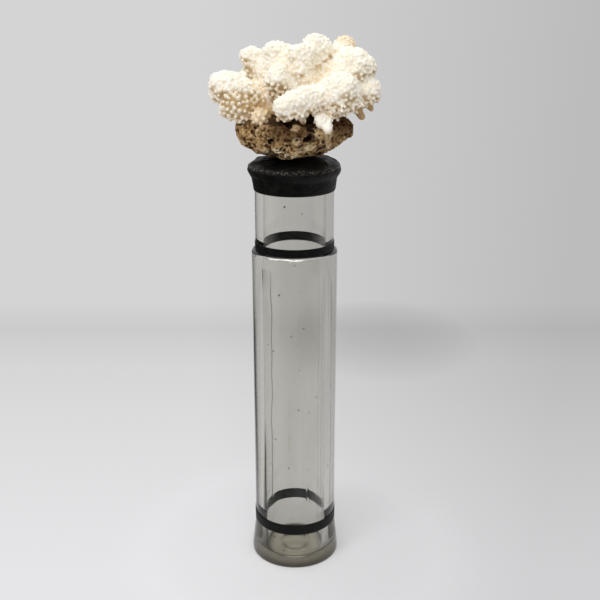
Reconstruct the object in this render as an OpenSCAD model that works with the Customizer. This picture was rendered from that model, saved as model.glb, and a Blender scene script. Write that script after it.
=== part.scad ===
// Glass cylinder jar with a lift-out black stopper that carries a white branching coral.
// Millimetres, +Z up, origin on the jar's axis at the face it stands on, front towards -Y.

/* [Glass jar] */
// Outer diameter of the straight body
body_d = 70; // [60:0.5:84]
// Length of the straight body, from the foot up to the shoulder
body_h = 248; // [150:1:320]
// Thickness of the body wall
body_wall = 9; // [6:0.5:9.5]
// Step in from the body to the neck, at the shoulder
shoulder_step = 3; // [1:0.1:6]
// Height of the neck, from the shoulder up to the rim
neck_h = 60.5; // [40:0.5:90]
// Thickness of the neck's wall, round the mouth and its bore
neck_wall = 6.5; // [4.5:0.1:9]
// Radius of the rounded shoulder
shoulder_r = 2.2; // [0.5:0.1:4]
// Radius of the fire-polished rim
lip_r = 1.5; // [0.5:0.1:2.5]
// Reach of the foot past the body
foot_flare = 3; // [0.5:0.1:8]
// Height of the flared foot, from the table up to the body
foot_h = 31.5; // [20:0.5:45]
// Height of the upright rim round the base
base_rim_h = 5; // [3:0.5:10]
// Radius of the edge that meets the table
base_edge_r = 1.2; // [0.5:0.1:2.5]
// Depth of solid glass from the table up to the floor of the hollow
floor_h = 5; // [4:0.5:40]
// Radius of the rounded corner round that floor
floor_corner_r = 3; // [1:0.5:10]
// Diameter of the ground hollow under the foot
pontil_d = 30; // [16:0.5:44]
// Depth of the ground hollow under the foot
pontil_depth = 2; // [0.5:0.1:3]

/* [Black bands] */
// Height of the band on the neck
neck_band_h = 7; // [4:0.5:14]
// Height of the band above the foot
foot_band_h = 9.5; // [5:0.5:16]
// Thickness of the bands
band_t = 0.4; // [0.3:0.05:1]

/* [Stopper] */
// Overlap of the cap's skirt down the outside of the neck
skirt_h = 11.5; // [6:0.5:20]
// Thickness of the skirt at its lower edge
skirt_t = 0.6; // [0.5:0.1:2]
// Growth of the skirt's radius from its lower edge up to the flange
skirt_flare = 1.2; // [0.2:0.1:1.6]
// Reach of the flange past the lower edge of the skirt
flange_reach = 4.4; // [3:0.1:8]
// Thickness of the rolled flange
flange_t = 10.5; // [6:0.5:12]
// Diameter of the flat top of the cap
cap_top_d = 48; // [40:0.5:56]
// Height of the cap's top above the rim of the glass
cap_top_h = 14; // [13:0.5:20]
// Width of the sloped edge round the cap's top
cap_edge_w = 3; // [1:0.1:4]
// Height of that sloped edge
cap_edge_h = 1.2; // [0.4:0.1:2]
// Length of the cork below the rim
cork_drop = 9; // [5:0.5:20]
// Depth of the socket in the cap that holds the cork
cork_socket = 3; // [2:0.5:4]
// Thickness of the washer on the rim
washer_t = 1.5; // [1:0.1:3]
// Diameter of the pin that holds the coral
pin_d = 6; // [4:0.5:8]
// Depth of the pin in the cap
pin_in_cap = 6; // [3:0.5:7]
// Depth of the pin in the coral's rock
pin_in_rock = 12; // [6:0.5:20]
// Height of the wax bed between the cap and the rock
bed_h = 2; // [1.5:0.5:6]
// Diameter of the wax bed where the rock sits on it
bed_top_d = 36; // [24:0.5:38]
// Width of the bare edge of the cap's top round the wax bed
bed_margin = 0.5; // [0.2:0.1:2]

/* [Coral] */
// Diameter of the brown rock that the coral grows on, at its widest level
rock_d = 92; // [76:1:104]
// Height of that rock, from its sawn seat up to its crown
rock_h = 33.5; // [28:0.5:42]
// Height of its widest level above the seat
rock_girth_h = 22; // [14:0.2:26]
// Shift of the rock to the left of the jar's axis
rock_shift = 2; // [0:0.1:5]
// Diameter of its crown, under the lobes
rock_crown_d = 59; // [40:1:70]
// Height of the knobs on the lobes
knob_h = 1.3; // [0.4:0.1:1.8]
// Distance between the corners of the lobes' knobbed skin
knob_step = 5.2; // [4.5:0.1:8]
// Length of the nubs that stand out under the lobes
nub_len = 2.2; // [1:0.1:5]
// Diameter of those nubs
nub_d = 4.4; // [2.5:0.1:6]

/* [Fits] */
// Gap between the skirt and the neck
skirt_gap = 0.3; // [0.2:0.05:1]
// Gap between the cork and the bore of the neck
cork_gap = 0.3; // [0.2:0.05:1]
// Gap between the washer and the cork that passes through it
washer_gap = 0.4; // [0.2:0.05:1]
// Glue gap round the top of the cork, and round the pin in the cap and the wax
glue_gap = 0.1; // [0.05:0.05:0.2]
// Glue gap round the pin in the hole drilled in the rock
drill_gap = 0.2; // [0.1:0.05:0.5]

/* [Hidden] */
$fn = 64;

body_r = body_d / 2;
neck_r = body_r - shoulder_step;
mouth_r = neck_r - neck_wall;
foot_r = body_r + foot_flare;
bore_r = body_r - body_wall;
shoulder_z = foot_h + body_h;
// The shoulder's rounding stays within the step from the body to the neck
shoulder_fillet = min(shoulder_r, shoulder_step);
// The rim's rounding stays within the neck's wall
lip_fillet = min(lip_r, neck_wall / 2);
rim_z = shoulder_z + neck_h;
skirt_z = rim_z - skirt_h;
ceiling_z = rim_z + washer_t;
cap_top_z = rim_z + cap_top_h;
seat_z = cap_top_z + bed_h;
crown_z = seat_z + rock_h;
skirt_r = neck_r + skirt_gap + skirt_t;
flange_r = skirt_r + flange_reach;
roll_r = flange_t / 2;
flange_z = rim_z + roll_r;
cork_r = mouth_r - cork_gap;
washer_in_r = cork_r + washer_gap;
washer_out_r = neck_r - lip_fillet / 2;
pin_r = pin_d / 2;
bed_foot_r = cap_top_d / 2 - bed_margin;
bed_top_r = bed_top_d / 2;
// A cut reaches this far past the face that it opens
past = 1;

// Lumps of the rock, each as a share of its radius, a count round it, a twist up it and a turn
ROCK_LUMPS = [
    [0.05, 3, 0, 40],
    [0.035, 7, 200, 0],
    [0.03, 11, -300, 90],
];
// The rock swells sooner above its seat as this falls towards zero, and sooner on its left
rock_belly = 0.7;
rock_lean = 0.1;
// Points round the rock, and rings up it
rock_sides = 36;
rock_rings = 10;
// Hollows between the rock's pillars, as lower end, upper end and radius, about its crown
ROCK_HOLLOWS = [
    [[-4.4, -40, -12], [-4.4, -35, -3], 4.2],
    [[11.5, -38, -9], [11.5, -32, -2], 3.8],
    [[8.5, -42, -14], [10.5, -41, -14], 2.8],
    [[-29, -31, -9], [-28, -28, -5], 4.8],
    [[-17.5, -45, -16], [-17.5, -43, -14], 2.2],
    [[35, 19, -11], [33, 18, -5], 4.4],
    [[17, 37, -13], [16, 35, -6], 4],
    [[-8, 42, -12], [-7, 39, -5], 4.6],
    [[-32, 30, -13], [-30, 28, -6], 4],
];

// Lobes of the colony, each as root, bend and tip about the crown of the rock, then the radii
// of its stem and of its rounded end.
LOBES = [
    [[0, 0, -14], [0, 0, 6], [2, 2, 30], 22, 19],
    [[-14, -2, 2], [-34, -6, 14], [-65, -12, 24], 10, 12.5],
    [[-10, 2, 4], [-26, 6, 26], [-37, 10, 49], 7, 9],
    [[-6, 0, 8], [-12, 4, 30], [-17, 7, 52], 10, 12],
    [[6, 4, 10], [14, 9, 34], [20, 13, 58], 10, 12.5],
    [[2, -2, 8], [4, -6, 32], [6, -4, 52], 10, 11],
    [[-5, -6, 6], [-11, -16, 20], [-16, -27, 34], 8, 10],
    [[14, 8, 10], [31, 16, 32], [44, 23, 54], 8, 9.5],
    [[14, 2, 6], [34, 2, 22], [60, 4, 42], 11, 16],
    [[24, 2, 8], [46, 0, 18], [66.5, -2, 14], 9, 12],
    [[12, -6, 2], [28, -18, 14], [45, -37, 22], 11, 15.5],
    [[26, -18, 12], [14, -37, 16], [-15, -43, 7], 10, 9.5],
    [[-12, 6, 0], [-28, 22, 12], [-46, 37, 22], 11, 14],
    [[0, 10, 0], [2, 30, 12], [4, 50, 18], 11, 14],
    [[14, 8, 0], [30, 26, 14], [44, 41, 24], 11, 14],
    [[-2, 10, 10], [-6, 22, 32], [-8, 30, 48], 10, 12],
    [[-14, -6, 0], [-30, -12, 3], [-57, -20, 7], 9, 10],
];
// A lobe that rises more steeply than this is turned about from the front, the others from above
upright_rise = 0.8;
// Share of a lobe's curve that is stem at the least
least_stem = 0.2;
// Lobes that carry a fringe of nubs underneath
FRINGED = [10, 11, 12, 13, 14];
// Places of the nubs along such a lobe, and their turns about it
FRINGE_PLACES = [0.5, 0.68, 0.86];
FRINGE_TURNS = [-130, -90, -50];
// Smooth fingers that hang below the lobes, as root, tip and radius
FINGERS = [
    [[22, -24, 8], [19, -41, -4], 4.6],
    [[27, -24, 6], [25, -43, -8], 5],
    [[5, -14, 6], [7, -38, -3], 3.6],
    [[-6, -14, 6], [-12, -36, -3], 4],
    [[-10, -12, 2], [-25, -31, 0], 6],
    [[42, -2, 12], [52, -6, -3], 4.6],
    [[50, 0, 14], [60, -2, 2], 3.8],
    [[-28, 14, 6], [-38, 24, -2], 4.2],
    [[20, 24, 4], [24, 34, -4], 4.2],
];
// Narrowing of a nub or finger towards its tip, and the sides of its rounding
finger_taper = 0.8;
finger_sides = 8;

function arc(centre, r, from, to, steps) = [
    for (i = [0 : steps])
        let (turn = from + (to - from) * i / steps)
        centre + r * [cos(turn), sin(turn)]
];
function unit(v) = v / norm(v);
function smooth(t) = t * t * (3 - 2 * t);
function curve_at(p, t) = (1 - t) * (1 - t) * p[0] + 2 * t * (1 - t) * p[1] + t * t * p[2];
function curve_dir(p, t) = unit((1 - t) * (p[1] - p[0]) + t * (p[2] - p[1]));
// Three directions about a lobe's curve: the one its turns count from, across it and square to both
function lobe_ref(p) = abs(unit(p[2] - p[0])[2]) > upright_rise ? [0, 1, 0] : [0, 0, 1];
function lobe_side(p, t) = unit(cross(curve_dir(p, t), lobe_ref(p)));
function lobe_over(p, t) = cross(lobe_side(p, t), curve_dir(p, t));
function lobe_out(p, t, turn) = cos(turn) * lobe_side(p, t) + sin(turn) * lobe_over(p, t);
// Where the rounded end of a lobe begins, as a share of its curve
function dome_from(p, r) = max(least_stem, 1 - r / norm(p[2] - p[0]));

// Rings of a lobe from its root to just short of its tip, each as its place on the curve and its radius
function lobe_rings(p, stem_r, end_r) =
    let (
        start = dome_from(p, end_r),
        stem_steps = max(2, round(start * norm(p[2] - p[0]) / knob_step)),
        dome_steps = max(3, round(end_r * PI / 2 / knob_step)),
    )
    concat(
        [for (i = [0 : stem_steps - 1])
            [start * i / stem_steps, stem_r + (end_r - stem_r) * smooth(i / stem_steps)]],
        [for (i = [0 : dome_steps - 1])
            [start + (1 - start) * sin(90 * i / dome_steps), end_r * cos(90 * i / dome_steps)]]
    );

// One swelling lobe with a round end; every second corner of its skin stands out as a knob
module lobe(p, stem_r, end_r) {
    rings = lobe_rings(p, stem_r, end_r);
    last = len(rings) - 1;
    sides = 2 * round(PI * end_r / knob_step);
    points = [
        for (i = [0 : last], j = [0 : sides - 1])
            let (
                t = rings[i][0],
                lift = (i + j) % 2 == 0 ? knob_h : 0,
            )
            curve_at(p, t) + (rings[i][1] + lift) * lobe_out(p, t, 360 * j / sides),
        p[2],
    ];
    skin = [
        for (i = [0 : last - 1], j = [0 : sides - 1])
            let (
                a = i * sides + j,
                b = i * sides + (j + 1) % sides,
                c = b + sides,
                d = a + sides,
            )
            each (i + j) % 2 == 0 ? [[a, b, d], [b, c, d]] : [[a, b, c], [a, c, d]]
    ];
    tip = [
        for (j = [0 : sides - 1])
            [last * sides + j, last * sides + (j + 1) % sides, (last + 1) * sides]
    ];
    root = [[for (j = [0 : sides - 1]) sides - 1 - j]];
    polyhedron(points, concat(skin, tip, root));
}

// A short round-ended rod
module nub(from, to, r) {
    hull() {
        translate(from) sphere(r, $fn = finger_sides);
        translate(to) sphere(finger_taper * r, $fn = finger_sides);
    }
}

// Rows of nubs along the underside of a lobe
module fringe(p, end_r) {
    for (t = FRINGE_PLACES, turn = FRINGE_TURNS) {
        out = lobe_out(p, t, turn);
        foot = curve_at(p, t) + (end_r - nub_d / 2) * out;
        nub(foot, foot + (nub_len + nub_d / 2) * out, nub_d / 2);
    }
}

// Bowl-shaped outline of the rock at a height above its seat and a turn about its axis
function rock_bowl(z, turn) =
    z < rock_girth_h
    ? bed_top_r + (rock_d / 2 - bed_top_r)
        * pow(sin(90 * z / rock_girth_h), rock_belly + rock_lean * cos(turn))
    : rock_crown_d / 2
        + (rock_d - rock_crown_d) / 2 * cos(90 * (z - rock_girth_h) / (rock_h - rock_girth_h));
// Share by which the lumps swell or draw in the rock
function rock_lump(z, turn, l) = l[0] * sin(l[1] * turn + l[2] * z / rock_h + l[3]);
function rock_swell(z, turn) =
    rock_lump(z, turn, ROCK_LUMPS[0]) + rock_lump(z, turn, ROCK_LUMPS[1]) + rock_lump(z, turn, ROCK_LUMPS[2]);

// The whole rock, before it is hollowed and drilled
module rock_body() {
    points = [
        for (i = [0 : rock_rings], j = [0 : rock_sides - 1])
            let (
                turn = 360 * j / rock_sides,
                z = rock_h * i / rock_rings,
                r = rock_bowl(z, turn) * (1 + rock_swell(z, turn)),
            )
            [r * cos(turn), r * sin(turn), z],
        [0, 0, rock_h],
    ];
    skin = [
        for (i = [0 : rock_rings - 1], j = [0 : rock_sides - 1])
            let (
                a = i * rock_sides + j,
                b = i * rock_sides + (j + 1) % rock_sides,
                c = b + rock_sides,
                d = a + rock_sides,
            )
            each [[a, d, b], [b, d, c]]
    ];
    last = rock_rings * rock_sides;
    top = [
        for (j = [0 : rock_sides - 1])
            [last + (j + 1) % rock_sides, last + j, last + rock_sides]
    ];
    base = [[for (j = [0 : rock_sides - 1]) j]];
    translate([-rock_shift, 0, seat_z]) polyhedron(points, concat(skin, top, base));
}

// Flared foot, straight body, rounded shoulder and neck, hollowed from the mouth down to its floor
module glass_vessel() {
    outline = concat(
        [[0, 0]],
        arc([foot_r - base_edge_r, base_edge_r], base_edge_r, -90, 0, 6),
        [[foot_r, base_rim_h], [body_r, foot_h]],
        arc([body_r - shoulder_fillet, shoulder_z - shoulder_fillet], shoulder_fillet, 0, 90, 8),
        [[neck_r, shoulder_z]],
        arc([neck_r - lip_fillet, rim_z - lip_fillet], lip_fillet, 0, 90, 6),
        arc([mouth_r + lip_fillet, rim_z - lip_fillet], lip_fillet, 90, 180, 6),
        [[mouth_r, shoulder_z], [bore_r, shoulder_z - body_wall]],
        arc([bore_r - floor_corner_r, floor_h + floor_corner_r], floor_corner_r, 0, -90, 6),
        [[0, floor_h]]
    );
    pontil_ball_r = (pow(pontil_d / 2, 2) + pow(pontil_depth, 2)) / (2 * pontil_depth);
    color([0.62, 0.63, 0.6, 0.45]) difference() {
        rotate_extrude() polygon(outline);
        translate([0, 0, pontil_depth - pontil_ball_r]) sphere(pontil_ball_r);
    }
}

// A thin band laid round the glass
module band(r, z, h) {
    color([0.06, 0.06, 0.06]) translate([0, 0, z]) difference() {
        cylinder(h = h, r = r + band_t);
        translate([0, 0, -past]) cylinder(h = h + 2 * past, r = r);
    }
}

// The band on the neck stands on the shoulder
module neck_band() {
    band(neck_r, shoulder_z, neck_band_h);
}

// The band on the body stands on the flare of the foot
module foot_band() {
    band(body_r, foot_h, foot_band_h);
}

// Loose washer between the rim of the glass and the cap
module rim_washer() {
    color([0.45, 0.33, 0.2]) translate([0, 0, rim_z]) difference() {
        cylinder(h = washer_t, r = washer_out_r);
        translate([0, 0, -past]) cylinder(h = washer_t + 2 * past, r = washer_in_r);
    }
}

// Cork that fills the mouth, glued into the cap
module stopper_cork() {
    color([0.68, 0.5, 0.32]) translate([0, 0, rim_z - cork_drop])
        cylinder(h = cork_drop + washer_t + cork_socket, r = cork_r);
}

// Black cap: a thin skirt over the neck, a rolled flange and a sloping top
module stopper_cap() {
    outline = concat(
        [[0, skirt_z], [skirt_r, skirt_z], [skirt_r + skirt_flare, flange_z - roll_r]],
        arc([flange_r - roll_r, flange_z], roll_r, -45, 90, 10),
        [[cap_top_d / 2 + cap_edge_w, cap_top_z - cap_edge_h], [cap_top_d / 2, cap_top_z], [0, cap_top_z]]
    );
    color([0.08, 0.08, 0.08]) difference() {
        rotate_extrude() polygon(outline);
        translate([0, 0, skirt_z - past]) cylinder(h = ceiling_z - skirt_z + past, r = neck_r + skirt_gap);
        translate([0, 0, ceiling_z - past]) cylinder(h = cork_socket + past, r = cork_r + glue_gap);
        translate([0, 0, cap_top_z - pin_in_cap]) cylinder(h = pin_in_cap + past, r = pin_r + glue_gap);
    }
}

// Bed of black wax that holds the rock on the cap, with a hollow side
module wax_bed() {
    outline = concat(
        [[pin_r + glue_gap, 0]],
        [for (turn = [0 : 15 : 90])
            [bed_foot_r + (bed_top_r - bed_foot_r) * sin(turn), bed_h * (1 - cos(turn))]],
        [[pin_r + glue_gap, bed_h]]
    );
    color([0.05, 0.05, 0.05]) translate([0, 0, cap_top_z]) rotate_extrude() polygon(outline);
}

// Pin glued into the cap and the rock
module coral_pin() {
    color([0.6, 0.6, 0.62]) translate([0, 0, cap_top_z - pin_in_cap])
        cylinder(h = pin_in_cap + bed_h + pin_in_rock, r = pin_r);
}

// Lumpy rock with a sawn seat, hollowed between its pillars and drilled for the pin
module coral_rock() {
    color([0.47, 0.37, 0.25]) difference() {
        rock_body();
        translate([0, 0, crown_z]) for (h = ROCK_HOLLOWS) nub(h[0], h[1], h[2]);
        translate([0, 0, seat_z - past]) cylinder(h = pin_in_rock + past, r = pin_r + drill_gap);
    }
}

// White coral that has grown over the rock
module coral_colony() {
    color([0.95, 0.91, 0.82]) difference() {
        translate([0, 0, crown_z]) {
            for (l = LOBES) lobe([l[0], l[1], l[2]], l[3], l[4]);
            for (i = FRINGED) fringe([LOBES[i][0], LOBES[i][1], LOBES[i][2]], LOBES[i][4]);
            for (f = FINGERS) nub(f[0], f[1], f[2]);
        }
        rock_body();
    }
}

glass_vessel();
neck_band();
foot_band();
rim_washer();
stopper_cork();
stopper_cap();
wax_bed();
coral_pin();
coral_rock();
coral_colony();
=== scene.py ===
"""Looks of a smoky glass cylinder jar whose black stopper carries a white branching coral.

Every mesh is in metres, in the jar's own frame: +Z up along its axis, its front towards -Y.
"""

import logging
import math
from dataclasses import dataclass
from enum import Enum
from typing import Sequence

import bmesh
import bpy
import numpy as np
from bmesh.types import BMesh
from mathutils import Matrix, Vector, noise
from mathutils.bvhtree import BVHTree


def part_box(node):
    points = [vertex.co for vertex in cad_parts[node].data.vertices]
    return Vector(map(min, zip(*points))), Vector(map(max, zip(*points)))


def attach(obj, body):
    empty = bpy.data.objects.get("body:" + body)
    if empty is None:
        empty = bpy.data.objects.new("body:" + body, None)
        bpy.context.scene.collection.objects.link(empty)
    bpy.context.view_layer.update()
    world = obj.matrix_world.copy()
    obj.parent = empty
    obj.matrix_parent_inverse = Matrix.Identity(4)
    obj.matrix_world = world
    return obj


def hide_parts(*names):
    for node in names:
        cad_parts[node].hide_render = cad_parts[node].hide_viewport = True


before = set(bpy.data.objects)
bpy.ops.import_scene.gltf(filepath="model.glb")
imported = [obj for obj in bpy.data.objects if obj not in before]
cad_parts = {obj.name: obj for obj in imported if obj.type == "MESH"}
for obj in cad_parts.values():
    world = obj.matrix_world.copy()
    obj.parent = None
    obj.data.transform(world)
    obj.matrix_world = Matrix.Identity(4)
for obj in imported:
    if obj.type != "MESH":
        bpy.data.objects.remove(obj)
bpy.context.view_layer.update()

LOG = logging.getLogger("coral_jar")
MM = 0.001
FULL_TURN = 2 * math.pi
ROUND_STEPS = 192
MERGE = 1e-6
# Share of a ball's radius in which a place counts as well inside it.
BALL_CORE = 0.7
# Rays that try how sheltered a corner is: start over it, lowest slope, and the share where none can start.
RAY_LIFT = 0.5 * MM
RAY_GRAZE = -0.2
BLIND_SHARE = 0.6
# Range that cloudy noise mostly keeps to.
CLOUD_RANGE = (0.3, 0.7)

Point = tuple[float, float]
Place = tuple[float, float, float]
Colour = tuple[float, float, float]
Ball = tuple[float, float, float, float]
Sized = bpy.types.NodeSocket | float | Colour


class Body(Enum):
    """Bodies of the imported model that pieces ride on."""

    VESSEL = "vessel"
    SEAL = "seal"
    STOPPER = "stopper"


class Node(Enum):
    """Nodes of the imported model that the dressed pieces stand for."""

    GLASS = "glass_vessel"
    NECK_BAND = "neck_band"
    FOOT_BAND = "foot_band"
    WASHER = "rim_washer"
    CORK = "stopper_cork"
    CAP = "stopper_cap"
    BED = "wax_bed"
    PIN = "coral_pin"
    ROCK = "coral_rock"
    COLONY = "coral_colony"


class Slot(Enum):
    """Material slots of the record."""

    GLASS = "smoky_glass"
    BAND = "black_band"
    LEATHER = "washer_leather"
    CORK = "cork"
    WAX = "black_wax"
    STEEL = "pin_steel"
    ROCK = "coral_rock"
    CORAL = "coral_white"


def shade(red: float, green: float, blue: float) -> Colour:
    """Turns a colour as a screen shows it, 0 to 255 each, into the linear one that shaders take."""
    parts = (value / 255 for value in (red, green, blue))
    return tuple(p / 12.92 if p < 0.04045 else ((p + 0.055) / 1.055) ** 2.4 for p in parts)


def ease(low: float, high: float, value: float) -> float:
    """Rises smoothly from 0 to 1 as a value goes from low, which may be the greater bound, to high."""
    t = min(1.0, max(0.0, (value - low) / (high - low)))
    return t * t * (3 - 2 * t)


def eased(low: float, high: float, values: np.ndarray) -> np.ndarray:
    """The same smooth rise for many values at once."""
    t = np.clip((np.asarray(values) - low) / (high - low), 0.0, 1.0)
    return t * t * (3 - 2 * t)


def arc(centre: Point, radius: float, start: float, end: float, steps: int) -> list[Point]:
    """Points along an arc, both ends included, with angles in degrees from the outward direction."""
    turns = [math.radians(start + (end - start) * i / steps) for i in range(steps + 1)]
    return [(centre[0] + radius * math.cos(t), centre[1] + radius * math.sin(t)) for t in turns]


def refine(outline: Sequence[Point], longest: float) -> list[Point]:
    """Cuts the long stretches of an outline into short ones.

    Args:
        outline: radius and height of each point.
        longest: the longest stretch that may stay.

    Returns:
        The outline with points added.
    """
    fine = [outline[0]]
    for (r0, z0), (r1, z1) in zip(outline, outline[1:]):
        cuts = max(1, math.ceil(math.hypot(r1 - r0, z1 - z0) / longest))
        fine += [(r0 + (r1 - r0) * i / cuts, z0 + (z1 - z0) * i / cuts) for i in range(1, cuts + 1)]
    return fine


def close_up(mesh: BMesh) -> None:
    """Merges doubled corners and turns all faces outwards."""
    bmesh.ops.remove_doubles(mesh, verts=mesh.verts, dist=MERGE)
    bmesh.ops.recalc_face_normals(mesh, faces=mesh.faces)


def turned(outline: Sequence[Point], turn: float = 0.0, steps: int = ROUND_STEPS) -> BMesh:
    """Spins an outline about the jar's axis.

    Args:
        outline: radius and height of each point, along a path that closes on the axis or on itself.
        turn: angle at which the spin starts, in radians.
        steps: columns of faces round the piece.

    Returns:
        The closed mesh.
    """
    mesh = bmesh.new()
    corners = [mesh.verts.new((r * math.cos(turn), r * math.sin(turn), z)) for r, z in outline]
    edges = [mesh.edges.new(pair) for pair in zip(corners, corners[1:])]
    bmesh.ops.spin(
        mesh, geom=corners + edges, cent=(0, 0, 0), axis=(0, 0, 1),
        angle=FULL_TURN, steps=steps, use_merge=True, use_duplicate=False,
    )
    close_up(mesh)
    return mesh


def ripple(place: Vector, size: float, salt: float = 0.0) -> float:
    """Smooth noise at a place, about -1 to 1: size is one ripple's length, salt gives another pattern."""
    return noise.noise(place / size + Vector((salt, 2 * salt, -salt)))


@dataclass(frozen=True)
class Relief:
    """A layer of smooth noise: height, length of one ripple, stretch along the axis, and pattern."""

    height: float
    size: float
    stretch: float = 1.0
    salt: float = 0.0

    def at(self, place: Vector) -> float:
        """Height of the layer at a place."""
        drawn = Vector((place.x, place.y, place.z * self.stretch))
        return self.height * ripple(drawn, self.size, self.salt)


def bulge(place: Vector, size: float) -> float:
    """Noise of round swellings a size apart, 0.5 on each, that meet in creases at about -0.5."""
    return 0.5 - noise.voronoi(place / size)[0][0]


def baked(mesh: BMesh, name: str) -> bpy.types.Mesh:
    """Stores a mesh that was under edit, and frees it.

    Args:
        mesh: the mesh under edit.
        name: name of the stored one.

    Returns:
        The stored mesh.
    """
    data = bpy.data.meshes.new(name)
    mesh.to_mesh(data)
    mesh.free()
    return data


def placed(name: str, data: bpy.types.ID) -> bpy.types.Object:
    """Adds an object to the scene.

    Args:
        name: its name.
        data: its mesh, lamp or camera.

    Returns:
        The object.
    """
    thing = bpy.data.objects.new(name, data)
    bpy.context.scene.collection.objects.link(thing)
    return thing


def evaluated(thing: bpy.types.Object) -> bpy.types.Mesh:
    """Mesh of an object with its modifiers applied."""
    graph = bpy.context.evaluated_depsgraph_get()
    return bpy.data.meshes.new_from_object(thing.evaluated_get(graph))


def merged_copy(node: Node) -> bpy.types.Mesh:
    """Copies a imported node's mesh and merges its loose triangles.

    Args:
        node: the node.

    Returns:
        The new mesh.
    """
    mesh = bmesh.new()
    mesh.from_mesh(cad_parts[node.value].data)
    bmesh.ops.remove_doubles(mesh, verts=mesh.verts, dist=MERGE)
    return baked(mesh, node.value + "_copy")


def reskinned(mesh: bpy.types.Mesh, voxel: float, smoothing: int, triangles: int = 0) -> bpy.types.Mesh:
    """Wraps a mesh, or several that overlap, in one even skin.

    Args:
        mesh: the mesh, which is used up.
        voxel: size of the skin's faces.
        smoothing: passes of smoothing after that.
        triangles: most triangles that the skin keeps, or 0 for all.

    Returns:
        The skin.
    """
    holder = placed("skin_holder", mesh)
    wrap = holder.modifiers.new("wrap", "REMESH")
    wrap.mode = "VOXEL"
    wrap.voxel_size = voxel
    holder.modifiers.new("soften", "SMOOTH").iterations = smoothing
    skin = evaluated(holder)
    count = 2 * len(skin.polygons)
    if triangles and count > triangles:
        holder.modifiers.clear()
        holder.data = skin
        holder.modifiers.new("thin", "DECIMATE").ratio = triangles / count
        skin = evaluated(holder)
    bpy.data.objects.remove(holder)
    return skin


def corners_of(mesh: bpy.types.Mesh) -> np.ndarray:
    """Places of a mesh's corners, one a row."""
    return np.array([corner.co for corner in mesh.vertices])


def tree_of(mesh: bpy.types.Mesh) -> BVHTree:
    """Search tree of a mesh."""
    return BVHTree.FromPolygons([v.co for v in mesh.vertices], [p.vertices[:] for p in mesh.polygons])


def folded(low: float, high: float, value: float) -> float:
    """Mirrors a value that passes a limit back in that limit."""
    return 2 * high - value if value > high else 2 * low - value if value < low else value


def within(places: np.ndarray, balls: Sequence[Ball], level: float) -> np.ndarray:
    """How deep places lie within any of some balls.

    Args:
        places: the places, one a row.
        balls: the balls.
        level: height from which the balls' middles are measured.

    Returns:
        0 outside them and 1 well inside one, one a place.
    """
    depths = []
    for x, y, z, r in balls:
        off = np.linalg.norm(places - np.array((x * MM, y * MM, z * MM + level)), axis=1)
        depths.append(eased(r * MM, BALL_CORE * r * MM, off))
    return np.max(depths, axis=0)


def spread(count: int, lowest: float) -> list[Vector]:
    """Directions spread evenly over a ball, or over its upper part.

    Args:
        count: how many.
        lowest: height of the lowest on a ball of radius 1.

    Returns:
        The directions.
    """
    golden = math.pi * (3 - math.sqrt(5))
    outs = []
    for i in range(count):
        z = lowest + (1 - lowest) * (i + 0.5) / count
        r = math.sqrt(1 - z * z)
        outs.append(Vector((r * math.cos(golden * i), r * math.sin(golden * i), z)))
    return outs


def sheltered(mesh: bpy.types.Mesh, tree: BVHTree, far: float, count: int = 10) -> np.ndarray:
    """How much of the sky each corner of a mesh is hidden from.

    Args:
        mesh: the mesh.
        tree: what hides it.
        far: farthest that a thing may be and still hide a corner.
        count: directions that are tried.

    Returns:
        Shares from 0 in the open to 1 in a hole, one a corner.
    """
    outs = spread(count, 0.0)
    shares = np.zeros(len(mesh.vertices))
    for i, corner in enumerate(mesh.vertices):
        start = corner.co + corner.normal * RAY_LIFT
        facing = [out for out in outs if out.dot(corner.normal) > RAY_GRAZE]
        hits = sum(tree.ray_cast(start, out, far)[0] is not None for out in facing)
        shares[i] = hits / len(facing) if facing else BLIND_SHARE
    return shares


def mark(mesh: bpy.types.Mesh, name: str, values: Sequence[float]) -> None:
    """Stores one value a corner for the finish to read."""
    mesh.attributes.new(name, "FLOAT", "POINT").data.foreach_set("value", np.asarray(values, np.float32))


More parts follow.
